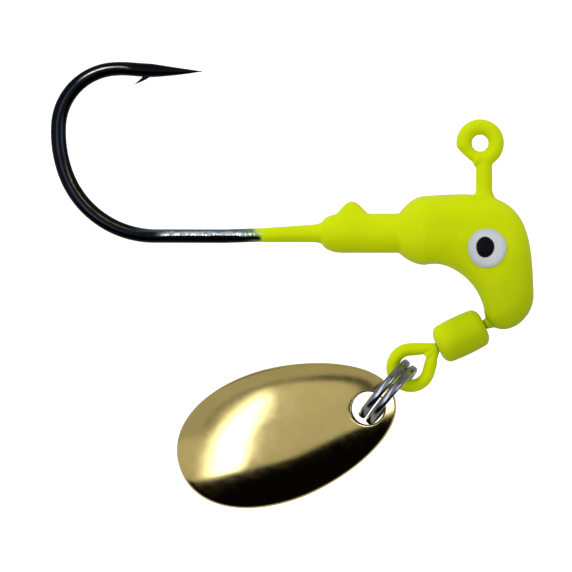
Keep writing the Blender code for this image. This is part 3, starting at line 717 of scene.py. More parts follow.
def seam_shade_finish():
    """Thin paint on the swivel wire, darkened to a painted shade for the seams where it shows, with bare
    nickel showing through.
    """
    f = Finish("swivel_wire_seam_shade")
    f.set(IOR=1.5, Specular_IOR_Level=0.2)
    cover = f.span(f.noise(2.6, 4.0), 0.35, 0.60, 0.75, 1.0)
    # painted shade: the paint colour is a dark olive, as the seams by the barrel look in shade
    f.wire(Base_Color=f.blend(cover, WIRE_BARE, WIRE_PAINT_SHADE),
           Metallic=f.span(cover, 0.0, 1.0, 0.9, 0.0),
           Roughness=f.span(f.noise(6.0, 3.0), 0.3, 0.7, 0.35, 0.55))
    f.bump((f.noise(7.0, 3.0), 0.25, 0.02))
    return f.material


def lead_finish():
    f = Finish("cast_lead")
    f.set(Metallic=1.0)
    f.wire(Base_Color=f.ramp(f.noise(1.2, 5.0, 0.65), ((0.3, LEAD_DARK), (0.7, LEAD_LIGHT))),
           Roughness=f.span(f.noise(3.0, 4.0), 0.3, 0.7, 0.5, 0.75))
    f.bump((f.noise(4.0, 5.0), 0.35, 0.04))
    return f.material


def white_finish():
    """White enamel with painted shade that greys it towards the drop's edge, and dust in it."""
    f = Finish("eye_white_enamel")
    f.set(Metallic=0.0, IOR=1.46, Specular_IOR_Level=0.35)
    colour = f.ramp(f.noise(0.8, 4.0), ((0.28, WHITE_COOL), (0.72, WHITE_WARM)))
    # painted shade: the white darkens towards the edge of the drop
    rim = f.span(f.from_middle(WHITE_LOW, WHITE_HIGH), 0.45, 1.0, 0.0, 0.55, True)
    colour = f.blend(rim, colour, WHITE_EDGE_SHADE)
    dust = f.noise(9.0, 3.0)
    colour = f.blend(f.span(dust, 0.60, 0.75, 0.0, 0.30), colour, WHITE_DUST)
    f.wire(Base_Color=colour, Roughness=f.span(f.noise(2.0, 3.0), 0.3, 0.7, 0.26, 0.42))
    f.bump((f.noise(1.4, 2.0), 0.15, 0.03), (f.noise(8.0, 2.0), 0.08, 0.008))
    return f.material


def black_finish():
    """Black enamel that thins to brown towards the drop's edge."""
    f = Finish("eye_black_enamel")
    f.set(Metallic=0.0, IOR=1.46, Specular_IOR_Level=0.06)
    uneven = f.times(f.noise(2.5, 3.0), 0.16)
    away = f.math("ADD", f.from_middle(PUPIL_LOW, PUPIL_HIGH), uneven)
    colour = f.ramp(f.span(away, 0.0, 1.2, 0.0, 1.0), (
        (0.0, BLACK_DEEP), (0.70, BLACK_BODY), (0.84, BLACK_THIN), (0.95, BLACK_EDGE)))
    f.wire(Base_Color=colour, Roughness=f.span(f.noise(3.0, 3.0), 0.3, 0.7, 0.18, 0.34))
    f.bump((f.noise(2.0, 2.0), 0.12, 0.02))
    return f.material


ENAMEL = paint_finish()
GOLD = gold_finish()
RING_METAL = ring_finish()
STEEL = steel_finish()
LEAD = lead_finish()
SEAM_SHADE_PAINT = seam_shade_finish()
WHITE = white_finish()
BLACK = black_finish()


# ---------------------------------------------------------------- hook

def hook_track():
    """The wire's middle from the line tie to the point, and where its stem and elbow start."""
    tangent = heading(TAIL_HEADING + 90.0) * LINE_TIE_R
    track = Track(tangent - heading(TAIL_HEADING) * TAIL, TAIL_HEADING)
    track.run(TAIL)
    track.arc(LINE_TIE_R, -WRAP)
    track.run(NECK)
    track.arc(NECK_BEND_R, NECK_BEND)
    stem = len(track.points) - 1
    track.run(STEM_LENGTH)
    elbow = len(track.points) - 1
    track.arc(ELBOW_R, -ELBOW_TURN)
    track.run(SHANK_IN_HEAD)
    track.run(SHANK_BARE)
    track.arc(KICK_R, -KICK_TURN)
    track.run(SHANK_BACK)
    for radius, turn in HOOK_BENDS:
        track.arc(radius, -turn)
    pieces = 24
    chord = math.radians(SPEAR_TURN) * SPEAR_R / pieces
    for _ in range(pieces):
        track.degrees += SPEAR_TURN / pieces / 2.0
        track.points.append(track.points[-1] + heading(track.degrees) * chord)
        track.degrees += SPEAR_TURN / pieces / 2.0
        track.angles.append(track.degrees)
    return track, stem, elbow


def from_point(track, distance):
    """The place this far back from the point, with its directions along and into the gape."""
    lengths = track.lengths()
    target = lengths[-1] - distance
    place = max(i for i, length in enumerate(lengths) if length <= target)
    along = heading(track.angles[place])
    inward = heading(track.angles[place] - 90.0)
    return track.points[place] + along * (target - lengths[place]), along, inward


def barb(track):
    """A cut sliver raised off the point, curved and thinning to its free end."""
    root, along, inward = from_point(track, (BARB_FRONT + BARB_BACK) / 2.0)
    tip_place, _, tip_in = from_point(track, BARB_TIP_BACK)
    tip = tip_place + tip_in * BARB_REACH
    start = root - inward * 0.10
    rings = []
    steps = 14
    for i in range(steps + 1):
        share = i / steps
        place = start.lerp(tip, share) + inward * (0.10 * math.sin(math.pi * share))
        lean = (tip - start).normalized()
        thick = lean.cross(SIDEWAYS).normalized()
        wide_half = 0.26 * (1.0 - share) ** 0.8 + 0.035
        thick_half = 0.30 * (1.0 - share) ** 1.1 + 0.025
        rings.append([
            place + SIDEWAYS * (wide_half * math.cos(t)) + thick * (thick_half * math.sin(t))
            for t in (2.0 * math.pi * j / 16 for j in range(16))
        ])
    return bridge(rings)


HOOK, STEM_AT, ELBOW_AT = hook_track()
NICKEL = nickel_finish()


def tail_cut(point):
    """How much the slanted cut at the line tie's wire end takes off its outside."""
    turned = (math.degrees(math.atan2(point.z, point.x)) % 360.0 - TAIL_CUT_FROM) / TAIL_CUT_OVER
    return TAIL_CUT * math.sin(math.radians(90.0 * max(0.0, min(1.0, turned))))


def cut_end(radii):
    """The line tie's points and radii with the wire end cut on the slant."""
    points = [Vector(p) for p in HOOK.points[:len(radii)]]
    radii = list(radii)
    for i in range(STEM_AT // 3):
        cut = tail_cut(points[i])
        radii[i] -= cut / 2.0
        points[i] -= points[i].normalized() * (cut / 2.0)
    return points, radii


def build_hook():
    """The whole wire: round, a little flattened through the bends, and drawn out to the point."""
    lengths = HOOK.lengths()
    radii = []
    for i, length in enumerate(lengths):
        left = min(1.0, (lengths[-1] - length) / NEEDLE)
        radius = HOOK_R * min(1.0, left ** 0.92 * (1.0 + 0.10 * (1.0 - left)))
        hidden = 1.0
        if i > ELBOW_AT:
            hidden = max(0.0, min(1.0, (HOOK.points[i].x - COLLAR_BACK) / 0.5))
        radius -= (HOOK_R - HOOK_R_UNDER_PAINT) * hidden * (left >= 1.0)
        radii.append(max(NEEDLE_TIP_R, radius))
    points, radii = cut_end(radii)
    sides = 28
    rings = []
    for point, angle, radius in zip(points, HOOK.angles, radii):
        turned = max(0.0, min(1.0, (-180.0 - angle) / 180.0))
        forged = FORGED * math.sin(math.pi * turned) ** 0.8
        inward = heading(angle - 90.0)
        centre = point + inward * (forged + HOOK_INSET)
        high = inward * (radius + forged)
        wide = SIDEWAYS * (radius - forged)
        rings.append([
            centre + high * math.cos(t) + wide * math.sin(t)
            for t in (2.0 * math.pi * j / sides for j in range(sides))
        ])
    shell = joined([bridge(rings), barb(HOOK)])
    solid("hook_wire_fine", shell, NICKEL, "jig", ("jig_hook",), 60.0)


# ---------------------------------------------------------------- head

def superellipse(turn, power):
    """A point on a unit superellipse; a power of 2 gives the circle."""
    c = math.cos(turn)
    s = math.sin(turn)
    exponent = 2.0 / power
    return math.copysign(abs(c) ** exponent, c), math.copysign(abs(s) ** exponent, s)


def head_reach(part):
    """The head's inner and outer distance from the pivot, part of the way round its fan."""
    out = heading(90.0 + (FAN_END - 90.0) * part - CROWN_TILT)
    up = (abs(out.z) / CROWN) ** CORNER_POWER
    ahead = (abs(out.x) / FACE) ** CORNER_POWER
    outer = (up + ahead) ** (-1.0 / CORNER_POWER)
    ease = max(0.0, 1.0 - part / EASE_FROM) ** 2
    return INNER_R - INNER_EASE * ease, outer - CROWN_EASE * ease


def head_stations():
    """Sections from the collar to the chin: centre, up direction, half height, half width, power."""
    stations = []
    upright = heading(90.0)
    steps = 14
    for i in range(steps + 1):
        turn = math.radians(90.0 * i / steps)
        radius = COLLAR_END_R + (COLLAR_R - COLLAR_END_R) * math.sin(turn)
        x = COLLAR_BACK + COLLAR_ROUND * (1.0 - math.cos(turn))
        stations.append((Vector((x, 0.0, COLLAR_Z)), upright, radius, radius, 2.0))
    steps = 48
    first = COLLAR_BACK + COLLAR_ROUND
    for i in range(1, steps + 1):
        x = first + (COLLAR_FRONT - first) * i / steps
        stations.append((Vector((x, 0.0, COLLAR_Z)), upright, COLLAR_R, COLLAR_R, 2.0))
    inner, outer = head_reach(0.0)
    middle = PIVOT.z + (outer + inner) / 2.0
    half = (outer - inner) / 2.0
    steps = 20
    for i in range(1, steps):
        part = i / steps
        grow = 1.0 - (1.0 - part) ** 2
        x = COLLAR_FRONT + (PIVOT.x - COLLAR_FRONT) * part
        z = COLLAR_Z + (middle - COLLAR_Z) * grow
        high = COLLAR_R + (half - COLLAR_R) * grow
        wide = COLLAR_R + (HEAD_WIDE - COLLAR_R) * grow
        stations.append((Vector((x, 0.0, z)), upright, high, wide, 2.0 + (HEAD_POWER - 2.0) * part))
    steps = 60
    for i in range(steps + 1):
        part = i / steps
        out = heading(90.0 + (FAN_END - 90.0) * part)
        inner, outer = head_reach(part)
        wide = HEAD_WIDE + (CHIN_WIDE - HEAD_WIDE) * part
        middle = PIVOT + out * ((outer + inner) / 2.0)
        stations.append((middle, out, (outer - inner) / 2.0, wide, HEAD_POWER))
    centre, out, high, wide, _ = stations[-1]
    steps = 14
    for i in range(1, steps + 1):
        turn = math.radians(88.0 * i / steps)
        shrink = math.cos(turn)
        drop = heading(-90.0) * (CHIN_DEPTH * math.sin(turn))
        stations.append((centre + drop, out, high * shrink, wide * shrink, 2.1))
    return stations


def head_shell():
    sides = 72
    rings = []
    for centre, out, high, wide, power in head_stations():
        reach = SPUR_BACK if centre.x < SPUR_X else SPUR_FRONT
        spur = SPUR_HEIGHT * max(0.0, 1.0 - ((centre.x - SPUR_X) / reach) ** 2) ** 1.6
        ring = []
        for j in range(sides):
            turn = 2.0 * math.pi * j / sides
            c, s = superellipse(turn, power)
            crest = spur * max(0.0, math.cos(turn)) ** SPUR_NARROW
            ring.append(centre + out * (high * c + crest) + SIDEWAYS * (wide * s))
        rings.append(ring)
    return bridge(rings)


def shank_point(x):
    """Where the hook's shank passes this x."""
    for before, after in zip(HOOK.points[ELBOW_AT:], HOOK.points[ELBOW_AT + 1:]):
        if before.x >= x >= after.x:
            return before.lerp(after, (x - before.x) / (after.x - before.x))


def shank_taper():
    """The paint on the shank: thick at the collar, feathered out where the bare wire starts."""
    first = COLLAR_BACK + 1.3
    last = SHANK_LOW.x + 0.3
    bare_r = SHANK_PAINT_END_R - SHANK_PAINT_FEATHER
    steps = 60
    points = []
    radii = []
    for i in range(steps + 1):
        share = i / steps
        x = first + (last - first) * share
        points.append(shank_point(x))
        back = max(0.0, (COLLAR_BACK - x) / (COLLAR_BACK - last))
        grown = min(1.0, max(0.0, (x - PAINT_EDGE + 0.3) / 0.9))
        thin = bare_r + SHANK_PAINT_FEATHER * grown * grown * (3.0 - 2.0 * grown)
        radius = thin + (SHANK_PAINT_R - SHANK_PAINT_END_R) * (1.0 - back) ** 1.4
        flare = max(0.0, 1.0 - max(0.0, COLLAR_BACK - x) / 0.8)
        radii.append(radius + SHANK_FLARE * flare ** 2)
    return tube(points, [180.0] * len(points), radii, 32)


def eye_leg(sign, centre, radius, wrap, tail):
    """The painted wire from the barrel's end round its loop and back."""
    gap = BARREL_DOME + END_CLEARANCE
    degrees = SWIVEL_DEG if sign > 0 else SWIVEL_DEG + 180.0
    start = SWIVEL_MID + heading(degrees) * (BARREL_HALF + gap)
    reach = centre - (SWIVEL_MID + heading(degrees) * (BARREL_HALF + NECK_STUB))
    bearing = math.degrees(math.atan2(reach.z, reach.x))
    lean = math.degrees(math.asin(radius / reach.length))
    track = Track(start, degrees, 5.0, 0.12)
    track.run(NECK_STUB - gap)
    track.degrees = bearing - lean
    track.run(math.sqrt(reach.length ** 2 - radius ** 2))
    track.arc(radius, wrap)
    track.run(tail)
    return track


def tie_shells():
    """Paint on the line tie: its sleeve, the webs in its crotch and the fillet at its foot."""
    radii = [TIE_PAINT_R] * STEM_AT
    radii += [STEM_PAINT_R] * (ELBOW_AT + 1 - STEM_AT)
    points, radii = cut_end(radii)
    sleeve = tube(points, HOOK.angles[:ELBOW_AT + 1], radii, 32, True)
    web = Track(heading(WEB_FROM) * LINE_TIE_R, WEB_FROM + 90.0)
    web.arc(LINE_TIE_R, WEB_TURN)
    web_bar = tube(web.points, web.angles, [TIE_PAINT_R - 0.01] * len(web.points), 32)
    stem = HOOK.points[STEM_AT]
    tail = HOOK.points[0]
    weld_start = tail * 0.84 + heading(TAIL_HEADING) * 0.25
    weld_end = Vector((stem.x - 0.05, 0.0, tail.z - 0.60))
    weld = straight(weld_start, weld_end, 0.40, 0.46)
    foot_top = Vector((stem.x, 0.0, COAT_HIGH.z + 0.55))
    foot_base = Vector((stem.x, 0.0, COAT_HIGH.z - 0.35))
    foot = straight(foot_top, foot_base, 0.56, 1.05, power=0.45)
    return [sleeve, web_bar, weld, foot]


def build_skin():
    """All the paint on the jig's body, melted into one skin."""
    neck = eye_leg(1, ANCHOR_LOOP, ANCHOR_LOOP_R, 20.0, 0.1)
    radii = [0.40 + 0.10 * min(1.0, length / 1.4) ** 2 for length in neck.lengths()]
    anchor = tube(neck.points, neck.angles, radii, 28)
    shells = [head_shell(), *tie_shells(), shank_taper(), anchor]
    cast("painted_skin", shells, VOXEL_SKIN, 8, ENAMEL, "jig",
         ("head_paint_coat", "line_tie_paint", "shank_paint"))


def dab(base, side, x, z, half_x, half_z, dome, sink):
    """A domed drop of paint, rounded over at its edge, on one side of the head."""
    sides = 56
    profile = [(i / 12, 1.0 - (i / 12) ** 3.2 * 0.45) for i in range(12)]
    profile += [(0.965 + 0.035 * math.sin(a), 0.55 * math.cos(a)) for a in
                (math.radians(15.0 * i) for i in range(1, 7))]
    profile += [(0.97, -sink / dome), (0.5, -sink / dome)]
    start = SIDEWAYS * (side * 10.0)
    verts = []
    for share, lift in profile:
        for j in range(sides if share else 1):
            turn = 2.0 * math.pi * j / sides
            wobble = 1.0 + 0.012 * math.sin(3.0 * turn + 0.7) + 0.008 * math.sin(5.0 * turn)
            right = half_x * share * wobble * math.cos(turn)
            up = half_z * share * wobble * math.sin(turn)
            place = Vector((x + right, 0.0, z + up))
            hit, normal, _, _ = base.ray_cast(place + start, SIDEWAYS * -side)
            out = normal if normal.y * side > 0.0 else -normal
            verts.append(hit + out * (dome * lift))
    faces = [(0, 1 + j, 1 + (j + 1) % sides) for j in range(sides)]
    for ring in range(len(profile) - 2):
        inner = 1 + ring * sides
        outer = inner + sides
        for j in range(sides):
            k = (j + 1) % sides
            faces.append((inner + j, outer + j, outer + k, inner + k))
    last = 1 + (len(profile) - 2) * sides
    faces.append(tuple(range(last, last + sides)))
    return verts, faces


def build_eyes():
    head = BVHTree.FromPolygons(*head_shell())
    white = (WHITE_LOW + WHITE_HIGH) / 2.0
    white_half = (WHITE_HIGH - WHITE_LOW) / 2.0
    pupil = (PUPIL_LOW + PUPIL_HIGH) / 2.0
    pupil_half = (PUPIL_HIGH - PUPIL_LOW) / 2.0
    for side, word in ((-1.0, "right"), (1.0, "left")):
        drop = dab(head, side, white.x, white.z,
                   white_half.x - 0.02, white_half.z - 0.02, 0.17, 0.12)
        solid("eye_white_fine_" + word, drop, WHITE, "jig", ("eye_white_" + word,))
        over = dab(BVHTree.FromPolygons(*drop), side, pupil.x, pupil.z,
                   pupil_half.x - 0.01, pupil_half.z - 0.01, 0.07, 0.05)
        solid("eye_pupil_fine_" + word, over, BLACK, "jig", ("eye_pupil_" + word,))


# ---------------------------------------------------------------- swivel

def lathe(profile, sides=64):
    """A closed half-section turned round the swivel's axis."""
    along = heading(SWIVEL_DEG)
    return bridge([wire_ring(SWIVEL_MID + along * t, SWIVEL_DEG, r, sides) for t, r in profile], True)


def mirrored(profile):
    """The profile, then its mirror image in the swivel's middle, as one run of points."""
    return profile + [(-t, r) for t, r in reversed(profile)]


def barrel_outline(hole):
    """The outside of the half-section, with a soft swell and rounded, slightly domed ends."""
    steps = 12
    end_long = BARREL_END_R * BARREL_END_SHARE
    body = BARREL_HALF - end_long
    left = [(-BARREL_HALF + 0.04, hole), (-BARREL_HALF, hole + 0.06)]
    for i in range(steps, -1, -1):
        turn = math.radians(90.0 * i / steps)
        left.append((-BARREL_HALF + end_long * (1.0 - math.sin(turn)),
                     BARREL_R - BARREL_BULGE - BARREL_END_R * (1.0 - math.cos(turn))))
    swell = []
    for i in range(1, steps * 2):
        t = -body + 2.0 * body * i / (steps * 2)
        swell.append((t, BARREL_R - BARREL_BULGE * (t / body) ** 2))
    right = [(-t, r) for t, r in reversed(left)]
    outline = []
    for t, r in left + swell + right:
        ends = max(0.0, abs(t) - body) / end_long
        domed = math.copysign(BARREL_DOME, t) * ends * (1.0 - (r / BARREL_R) ** 2)
        outline.append((t + domed, r))
    return outline


def build_barrel():
    """Enamel outside, and a hollow steel wall inside it that is open round both wires."""
    hole = SWIVEL_WIRE_R + WIRE_CLEARANCE
    inner = BARREL_HALF - BARREL_COAT
    skin = barrel_outline(hole + 0.05) + mirrored([
        (inner, hole + 0.05), (inner, BARREL_R * 0.5), (inner - 0.5, BARREL_R - 0.30)])
    solid("barrel_enamel", lathe(skin), ENAMEL, "barrel", ("barrel_paint",), 50.0)
    outside = mirrored([
        (-inner + 0.02, hole), (-inner + 0.02, BARREL_R * 0.48), (-inner + 0.52, BARREL_R - BARREL_SHELL)])
    room = mirrored([(inner - 0.30, hole), (inner - 0.55, BARREL_ROOM_R)])
    solid("barrel_steel", lathe(outside + room, 48), STEEL, "barrel",
          ("swivel_barrel",), 40.0)


def build_loop():
    """The painted free eye; it and its wire stay out of the ring's and blade's reflections."""
    leg = eye_leg(-1, LOOP, LOOP_R, LOOP_WRAP, LOOP_TAIL)
    lengths = leg.lengths()
    radii = []
    for length in lengths:
        grow = min(1.0, length / 1.5)
        end = min(1.0, (lengths[-1] - length) / 0.6 + 0.62)
        radii.append((LOOP_ROOT_R + (LOOP_PAINT_R - LOOP_ROOT_R) * grow ** 1.2) * end)
    wire = tube(leg.points, leg.angles, radii, 28, False, True)
    back = leg.points[-1] - heading(leg.degrees) * 0.25
    root = leg.points[0] + heading(SWIVEL_DEG + 180.0) * 0.10
    web = straight(back, root, 0.40, 0.34)
    crotch = straight(root, LOOP_CROTCH, 0.38, 0.41)
    loop = cast("loop_enamel", [wire, web, crotch], VOXEL_LOOP, 7, ENAMEL, "blade_eye",
                ("blade_eye_paint",))
    loop.visible_glossy = False
    frame["nodes"]["swivel_blade_eye"].visible_glossy = False


def build_ring():
    """Two turns of one flattened wire, with a jog where it crosses from one to the other."""
    lean = heading(RING_LEAN)
    normal = heading(RING_LEAN - 90.0)
    tilt = math.radians(RING_TILT)
    front = Vector((0.0, -math.cos(tilt), 0.0)) - normal * math.sin(tilt)
    across = lean.cross(front).normalized()
    if across.dot(normal) < 0.0:
        across = -across
    centre = RING + across * RING_SHIFT
    first = RING_JOG_AT - 360.0 + RING_START_GAP
    last = RING_JOG_AT + 360.0 - RING_END_GAP
    steps = 220
    sides = 20
    rings = []
    for i in range(steps + 1):
        degrees = first + (last - first) * i / steps
        share = min(1.0, max(0.0, (degrees - RING_JOG_AT) / RING_JOG + 0.5))
        ease = share * share * (3.0 - 2.0 * share)
        turn = math.radians(degrees)
        outward = lean * math.cos(turn) + front * math.sin(turn)
        spread = max(0.0, 1.0 - (last - degrees) / RING_SPREAD_FROM) ** 2 * RING_END_SPREAD
        middle = centre + outward * RING_R + across * (RING_PITCH * (0.5 - ease) - spread)
        end = min(degrees - first, last - degrees)
        slim = min(1.0, 0.45 + 0.55 * math.sqrt(min(1.0, end / 5.0)))
        deep = outward * (RING_RADIAL / 2.0 * slim)
        wide = across * (RING_AXIAL / 2.0 * slim)
        ring = []
        for j in range(sides):
            c, s = superellipse(2.0 * math.pi * (j + 0.5) / sides, 2.9)
            ring.append(middle + deep * c + wide * s)
        rings.append(ring)
    solid("ring_coils", bridge(rings), RING_METAL, "ring", ("split_ring",), 55.0)


# ---------------------------------------------------------------- blade

def blade_outline(turn):
    """The egg-shaped edge, along the blade and across it from its middle."""
    c = math.cos(turn)
    s = math.sin(turn)
    along = BLADE_LONG * math.copysign(abs(c) ** BLADE_TAPER, c)
    across = BLADE_WIDE * math.copysign(abs(s) ** BLADE_FULLNESS, s) * (1.0 - BLADE_EGG * c)
    return along, across


OUTLINE = [blade_outline(2.0 * math.pi * i / BLADE_STEPS) for i in range(BLADE_STEPS)]


def outline_table():
    """The outline as bearings and distances from the middle, in the order of the bearings."""
    table = []
    for along, across in OUTLINE:
        table.append((math.atan2(across, along) % (2.0 * math.pi), math.hypot(along, across)))
    return sorted(table)


TABLE = outline_table()


def table_reach(angle):
    """The outline's distance from the blade's middle at a bearing."""
    angle %= 2.0 * math.pi
    low, high = 0, len(TABLE)
    while low < high:
        mid = (low + high) // 2
        if TABLE[mid][0] < angle:
            low = mid + 1
        else:
            high = mid
    after = TABLE[low % len(TABLE)]
    before = TABLE[low - 1]
    gap = (after[0] - before[0]) % (2.0 * math.pi) or 1.0
    share = ((angle - before[0]) % (2.0 * math.pi)) / gap
    return before[1] + (after[1] - before[1]) * min(1.0, share)


def blade_place(along, across, depth):
    """A point of the blade: depth 0 is the front face, 1 the back."""
    distance = math.hypot(along, across)
    share = min(1.0, distance / table_reach(math.atan2(across, along))) if distance > 1e-6 else 0.0
    cup = BLADE_CUP * (1.0 - share ** BLADE_CUP_POWER)
    flat = heading(BLADE_LEAN) * along + heading(BLADE_LEAN + 90.0) * across
    return BLADE + flat + SIDEWAYS * (BLADE_RIM_Y - cup + BLADE_THICK * depth)


def even_edge(count):
    """Points spaced evenly along the blade's outline."""
    lengths = [0.0]
    for a, b in zip(OUTLINE, OUTLINE[1:] + OUTLINE[:1]):
        lengths.append(lengths[-1] + math.hypot(b[0] - a[0], b[1] - a[1]))
    edge = []
    place = 0
    for j in range(count):
        target = lengths[-1] * j / count
        while lengths[place + 1] < target:
            place += 1
        share = (target - lengths[place]) / (lengths[place + 1] - lengths[place])
        a = OUTLINE[place]
        b = OUTLINE[(place + 1) % BLADE_STEPS]
        edge.append((a[0] + (b[0] - a[0]) * share, a[1] + (b[1] - a[1]) * share))
    return edge


def build_blade():
    """Rows of points run from the hole's middle over the front, round the rim and back."""
    edge = even_edge(240)
    away = HOLE - BLADE
    hole = (away.dot(heading(BLADE_LEAN)), away.dot(heading(BLADE_LEAN + 90.0)))
    inner = HOLE_R + HOLE_ROUND

    def row(share_of, depth):
        ring = []
        for along, across in edge:
            span = math.hypot(along - hole[0], across - hole[1])
            distance = share_of(span)
            ring.append(blade_place(hole[0] + (along - hole[0]) / span * distance,
                                    hole[1] + (across - hole[1]) / span * distance, depth))
        return ring

    def hole_row(turn, side):
        lip = HOLE_R + HOLE_ROUND * (1.0 - math.cos(turn))
        return row(lambda span: lip, 0.5 + side * 0.5 * math.sin(turn))

    def face_row(share, depth):
        return row(lambda span: inner + (span - BLADE_RIM_ROUND - inner) * share, depth)

    def rim_row(turn):
        bulge = BLADE_RIM_ROUND * (math.sin(turn) - 1.0)
        return row(lambda span: span + bulge, 0.5 - 0.5 * math.cos(turn))

    face_steps = 40
    rows = [hole_row(math.radians(22.5 * i), -1.0) for i in range(5)]
    rows += [face_row(i / face_steps, 0.0) for i in range(1, face_steps)]
    rows += [rim_row(math.radians(22.5 * i)) for i in range(9)]
    rows += [face_row(i / face_steps, 1.0) for i in range(face_steps - 1, 0, -1)]
    rows += [hole_row(math.radians(22.5 * i), 1.0) for i in range(4, 0, -1)]
    solid("blade_plate", bridge(rows, True), GOLD, "blade", ("spinner_blade",))


build_hook()
build_skin()
build_eyes()
build_barrel()
build_loop()
build_ring()
build_blade()
# the swivel wires take the dark painted-shade paint where they show in the seams
kept_nodes = (("head_casting", LEAD), ("swivel_anchor_eye", SEAM_SHADE_PAINT), ("swivel_blade_eye", SEAM_SHADE_PAINT))
for node, look in kept_nodes:
    mesh = frame["nodes"][node].data
    mesh.materials.clear()
    mesh.materials.append(look)


# ---------------------------------------------------------------- studio

WHITE_LIGHT = (1.0, 1.0, 1.0, 1.0)
COOL_LIGHT = (1.0, 1.08, 1.55, 1.0)
SWEEP_R = 150.0


def floor_look():
    f = Finish("pale_floor")
    f.set(Metallic=0.0, Roughness=0.9, Specular_IOR_Level=0.0, Emission_Strength=0.40)
    f.set(Emission_Color=WHITE_LIGHT)
    f.wire(Base_Color=f.ramp(f.noise(0.02, 2.0), ((0.3, FLOOR_DIM), (0.7, FLOOR_PALE))))
    return f.material


def build_floor(level):
    """A pale sweep: floor, a wide curve and a wall behind."""
    profile = [(-600.0, level)]
    profile += [(250.0 + SWEEP_R * math.sin(a), level + SWEEP_R * (1.0 - math.cos(a))) for a in
                (math.radians(6.0 * i) for i in range(16))]
    profile.append((250.0 + SWEEP_R, level + 700.0))
    verts = []
    for y, z in profile:
        verts += [Vector((-900.0, y, z)), Vector((900.0, y, z))]
    faces = [(2 * i, 2 * i + 1, 2 * i + 3, 2 * i + 2) for i in range(len(profile) - 1)]
    mesh = bpy.data.meshes.new("studio_sweep")
    mesh.from_pydata([v * MM for v in verts], [], faces)
    mesh.polygons.foreach_set("use_smooth", [True] * len(mesh.polygons))
    mesh.materials.append(floor_look())
    sweep = bpy.data.objects.new("studio_sweep", mesh)
    bpy.context.scene.collection.objects.link(sweep)
    sweep.visible_glossy = False
    sweep.visible_diffuse = False


FLAG_FACES = (-0.176, 0.060, 0.983)
FLAG_TIP_FACES = (-0.502, 0.0, 0.865)
CARD_FACES = (-0.039, -0.936, 0.349)
BOX_LEFT_FACES = (0.826, -0.533, -0.181)
BOX_RIGHT_FACES = (0.946, 0.319, -0.053)
LAMP_FACES = (0.688, -0.719, 0.104)
LEVEL_FACES = (-0.3, 0.0, 1.0)
MATT_FACES = (-0.30, -0.45, 0.80)
UP = (0.0, 0.0, 1.0)
RIGHT = (1.0, 0.0, 0.0)
TO_CAMERA = (0.0, -1.0, 0.0)
FLAG_DARK = 0.003
BOX_STRENGTH = 2.7


class Sky:
    """The world's node tree, with helpers that shape a value by a ray's direction."""

    def __init__(self):
        world = bpy.data.worlds.new("studio")
        bpy.context.scene.world = world
        world.use_nodes = True
        self.tree = world.node_tree
        self.tree.nodes.clear()
        self.direction = self.new("ShaderNodeTexCoord").outputs["Generated"]

    def new(self, kind):
        return self.tree.nodes.new(kind)

    def link(self, source, target):
        self.tree.links.new(source, target)

    def towards(self, direction, low, high, to_low, to_high):
        """A value set by how near a ray's direction lies to the given one."""
        dot = self.new("ShaderNodeVectorMath")
        dot.operation = "DOT_PRODUCT"
        dot.inputs[1].default_value = Vector(direction).normalized()
        self.link(self.direction, dot.inputs[0])
        span = self.new("ShaderNodeMapRange")
        span.interpolation_type = "SMOOTHSTEP"
        for key, value in zip(RANGE_SOCKETS, (low, high, to_low, to_high)):
            span.inputs[key].default_value = value
        self.link(dot.outputs["Value"], span.inputs["Value"])
        return span.outputs["Result"]

    def combine(self, operation, first, *others):
        """The values taken together, one after another, by a math node."""
        for other in others:
            node = self.new("ShaderNodeMath")
            node.operation = operation
            for socket, value in zip(node.inputs, (first, other)):
                if isinstance(value, (int, float)):
                    socket.default_value = value
                else:
                    self.link(value, socket)
            first = node.outputs["Value"]
        return first

    def band(self, direction, low, high, soft):
        """1 where the nearness lies between low and high, falling away over soft."""
        return self.combine("MULTIPLY", self.towards(direction, low - soft, low, 0.0, 1.0),
                            self.towards(direction, high, high + soft, 1.0, 0.0))

    def background(self, colour, strength):
        node = self.new("ShaderNodeBackground")
        for socket, value in ((node.inputs["Color"], colour), (node.inputs["Strength"], strength)):
            if isinstance(value, (float, tuple)):
                socket.default_value = value
            else:
                self.link(value, socket)
        return node.outputs[0]

    def choose(self, ray, otherwise, shader):
        """The shader for rays of one kind, and the other one for the rest."""
        node = self.new("ShaderNodeMixShader")
        path = self.new("ShaderNodeLightPath")
        self.link(path.outputs[ray], node.inputs["Fac"])
        self.link(otherwise, node.inputs[1])
        self.link(shader, node.inputs[2])
        return node.outputs[0]


def cool_tint(sky, amount):
    """White light that turns cool by the given amount; 6, 7 and 2 are the colour sockets."""
    tint = sky.new("ShaderNodeMix")
    tint.data_type = "RGBA"
    tint.inputs[6].default_value = WHITE_LIGHT
    tint.inputs[7].default_value = COOL_LIGHT
    sky.link(amount, tint.inputs["Factor"])
    return tint.outputs[2]


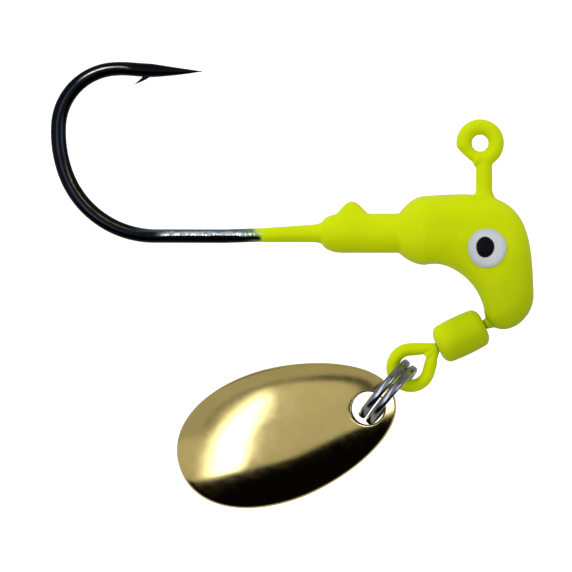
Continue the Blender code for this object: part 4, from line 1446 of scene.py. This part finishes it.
def build_world():
    """White for what the camera and the matt surfaces see; a studio of cards for reflections."""
    sky = Sky()
    front = sky.towards(TO_CAMERA, 0.0, 0.2, 0.0, 1.0)
    behind = sky.combine("SUBTRACT", 1.0, front)
    room = sky.towards(LEVEL_FACES, -0.9, 0.9, 0.50, 0.60)
    under = sky.towards(UP, 0.05, 0.32, 1.0, 0.0)
    above = sky.combine("SUBTRACT", 1.0, under)

    flag = sky.combine("MINIMUM", sky.towards(FLAG_FACES, -0.440, -0.362, FLAG_DARK, 1.0),
                       sky.towards(FLAG_TIP_FACES, -0.560, -0.500, FLAG_DARK, 1.0))
    flag = sky.combine("MAXIMUM", flag, behind)

    surround = sky.combine("MAXIMUM", sky.towards(CARD_FACES, 0.815, 0.880, 0.72, 1.0), under)
    gap_depth = sky.combine("MULTIPLY", sky.towards(RIGHT, -0.12, 0.10, 0.46, 0.88), above)
    gap = sky.combine("MULTIPLY", sky.band(CARD_FACES, 0.846, 0.880, 0.030), gap_depth)
    level = sky.combine("MULTIPLY", room, flag, surround, sky.combine("SUBTRACT", 1.0, gap))

    box_top = sky.combine("MAXIMUM", sky.towards(CARD_FACES, 0.866, 0.895, 0.0, 1.0), under)
    tall_box = sky.combine("MULTIPLY", sky.towards(BOX_LEFT_FACES, -0.040, 0.215, 0.0, 1.0),
                           sky.towards(BOX_RIGHT_FACES, -0.515, -0.415, 1.0, 0.0),
                           box_top, front, flag)
    lamp = sky.towards(LAMP_FACES, 0.965, 0.990, 0.0, 1.0)
    bright = sky.combine("MAXIMUM", tall_box, lamp)
    level = sky.combine("ADD", level, sky.combine("MULTIPLY", bright, BOX_STRENGTH))

    white = sky.background(WHITE_LIGHT, 1.0)
    studio = sky.background(cool_tint(sky, bright), level)
    matt = sky.background(WHITE_LIGHT, sky.towards(MATT_FACES, -0.85, 0.75, 0.54, 0.90))
    indirect = sky.choose("Is Glossy Ray", matt, studio)
    out = sky.new("ShaderNodeOutputWorld")
    sky.link(sky.choose("Is Camera Ray", indirect, white), out.inputs["Surface"])


def soft_light(name, place, target, size, watts, glossy):
    data = bpy.data.lights.new(name, "AREA")
    data.shape = "RECTANGLE"
    data.size = size[0] * MM
    data.size_y = size[1] * MM
    data.energy = watts
    lamp = bpy.data.objects.new(name, data)
    bpy.context.scene.collection.objects.link(lamp)
    lamp.location = Vector(place) * MM
    lamp.rotation_euler = (Vector(target) - Vector(place)).to_track_quat("-Z", "Y").to_euler()
    lamp.visible_glossy = glossy
    lamp.visible_camera = False


def build_camera():
    """A long lens looking along +Y, square on to the lure."""
    data = bpy.data.cameras.new("photo_view")
    data.lens = LENS
    data.sensor_width = SENSOR
    data.clip_start = 0.01
    data.clip_end = 10.0
    camera = bpy.data.objects.new("photo_view", data)
    bpy.context.scene.collection.objects.link(camera)
    camera.location = Vector((CAMERA_X, -VIEW_WIDTH * LENS / SENSOR, CAMERA_Z)) * MM
    camera.rotation_euler = (math.radians(90.0), 0.0, 0.0)
    bpy.context.scene.camera = camera


build_floor(CAD_BOX[0][2] / MM - FLOOR_DROP)
build_world()
soft_light("key_softbox", (-170.0, -150.0, 210.0), OBJECT_MIDDLE, (160.0, 160.0), 0.22, False)
build_camera()
bpy.context.scene.view_settings.view_transform = "Standard"
bpy.context.scene.view_settings.look = "None"
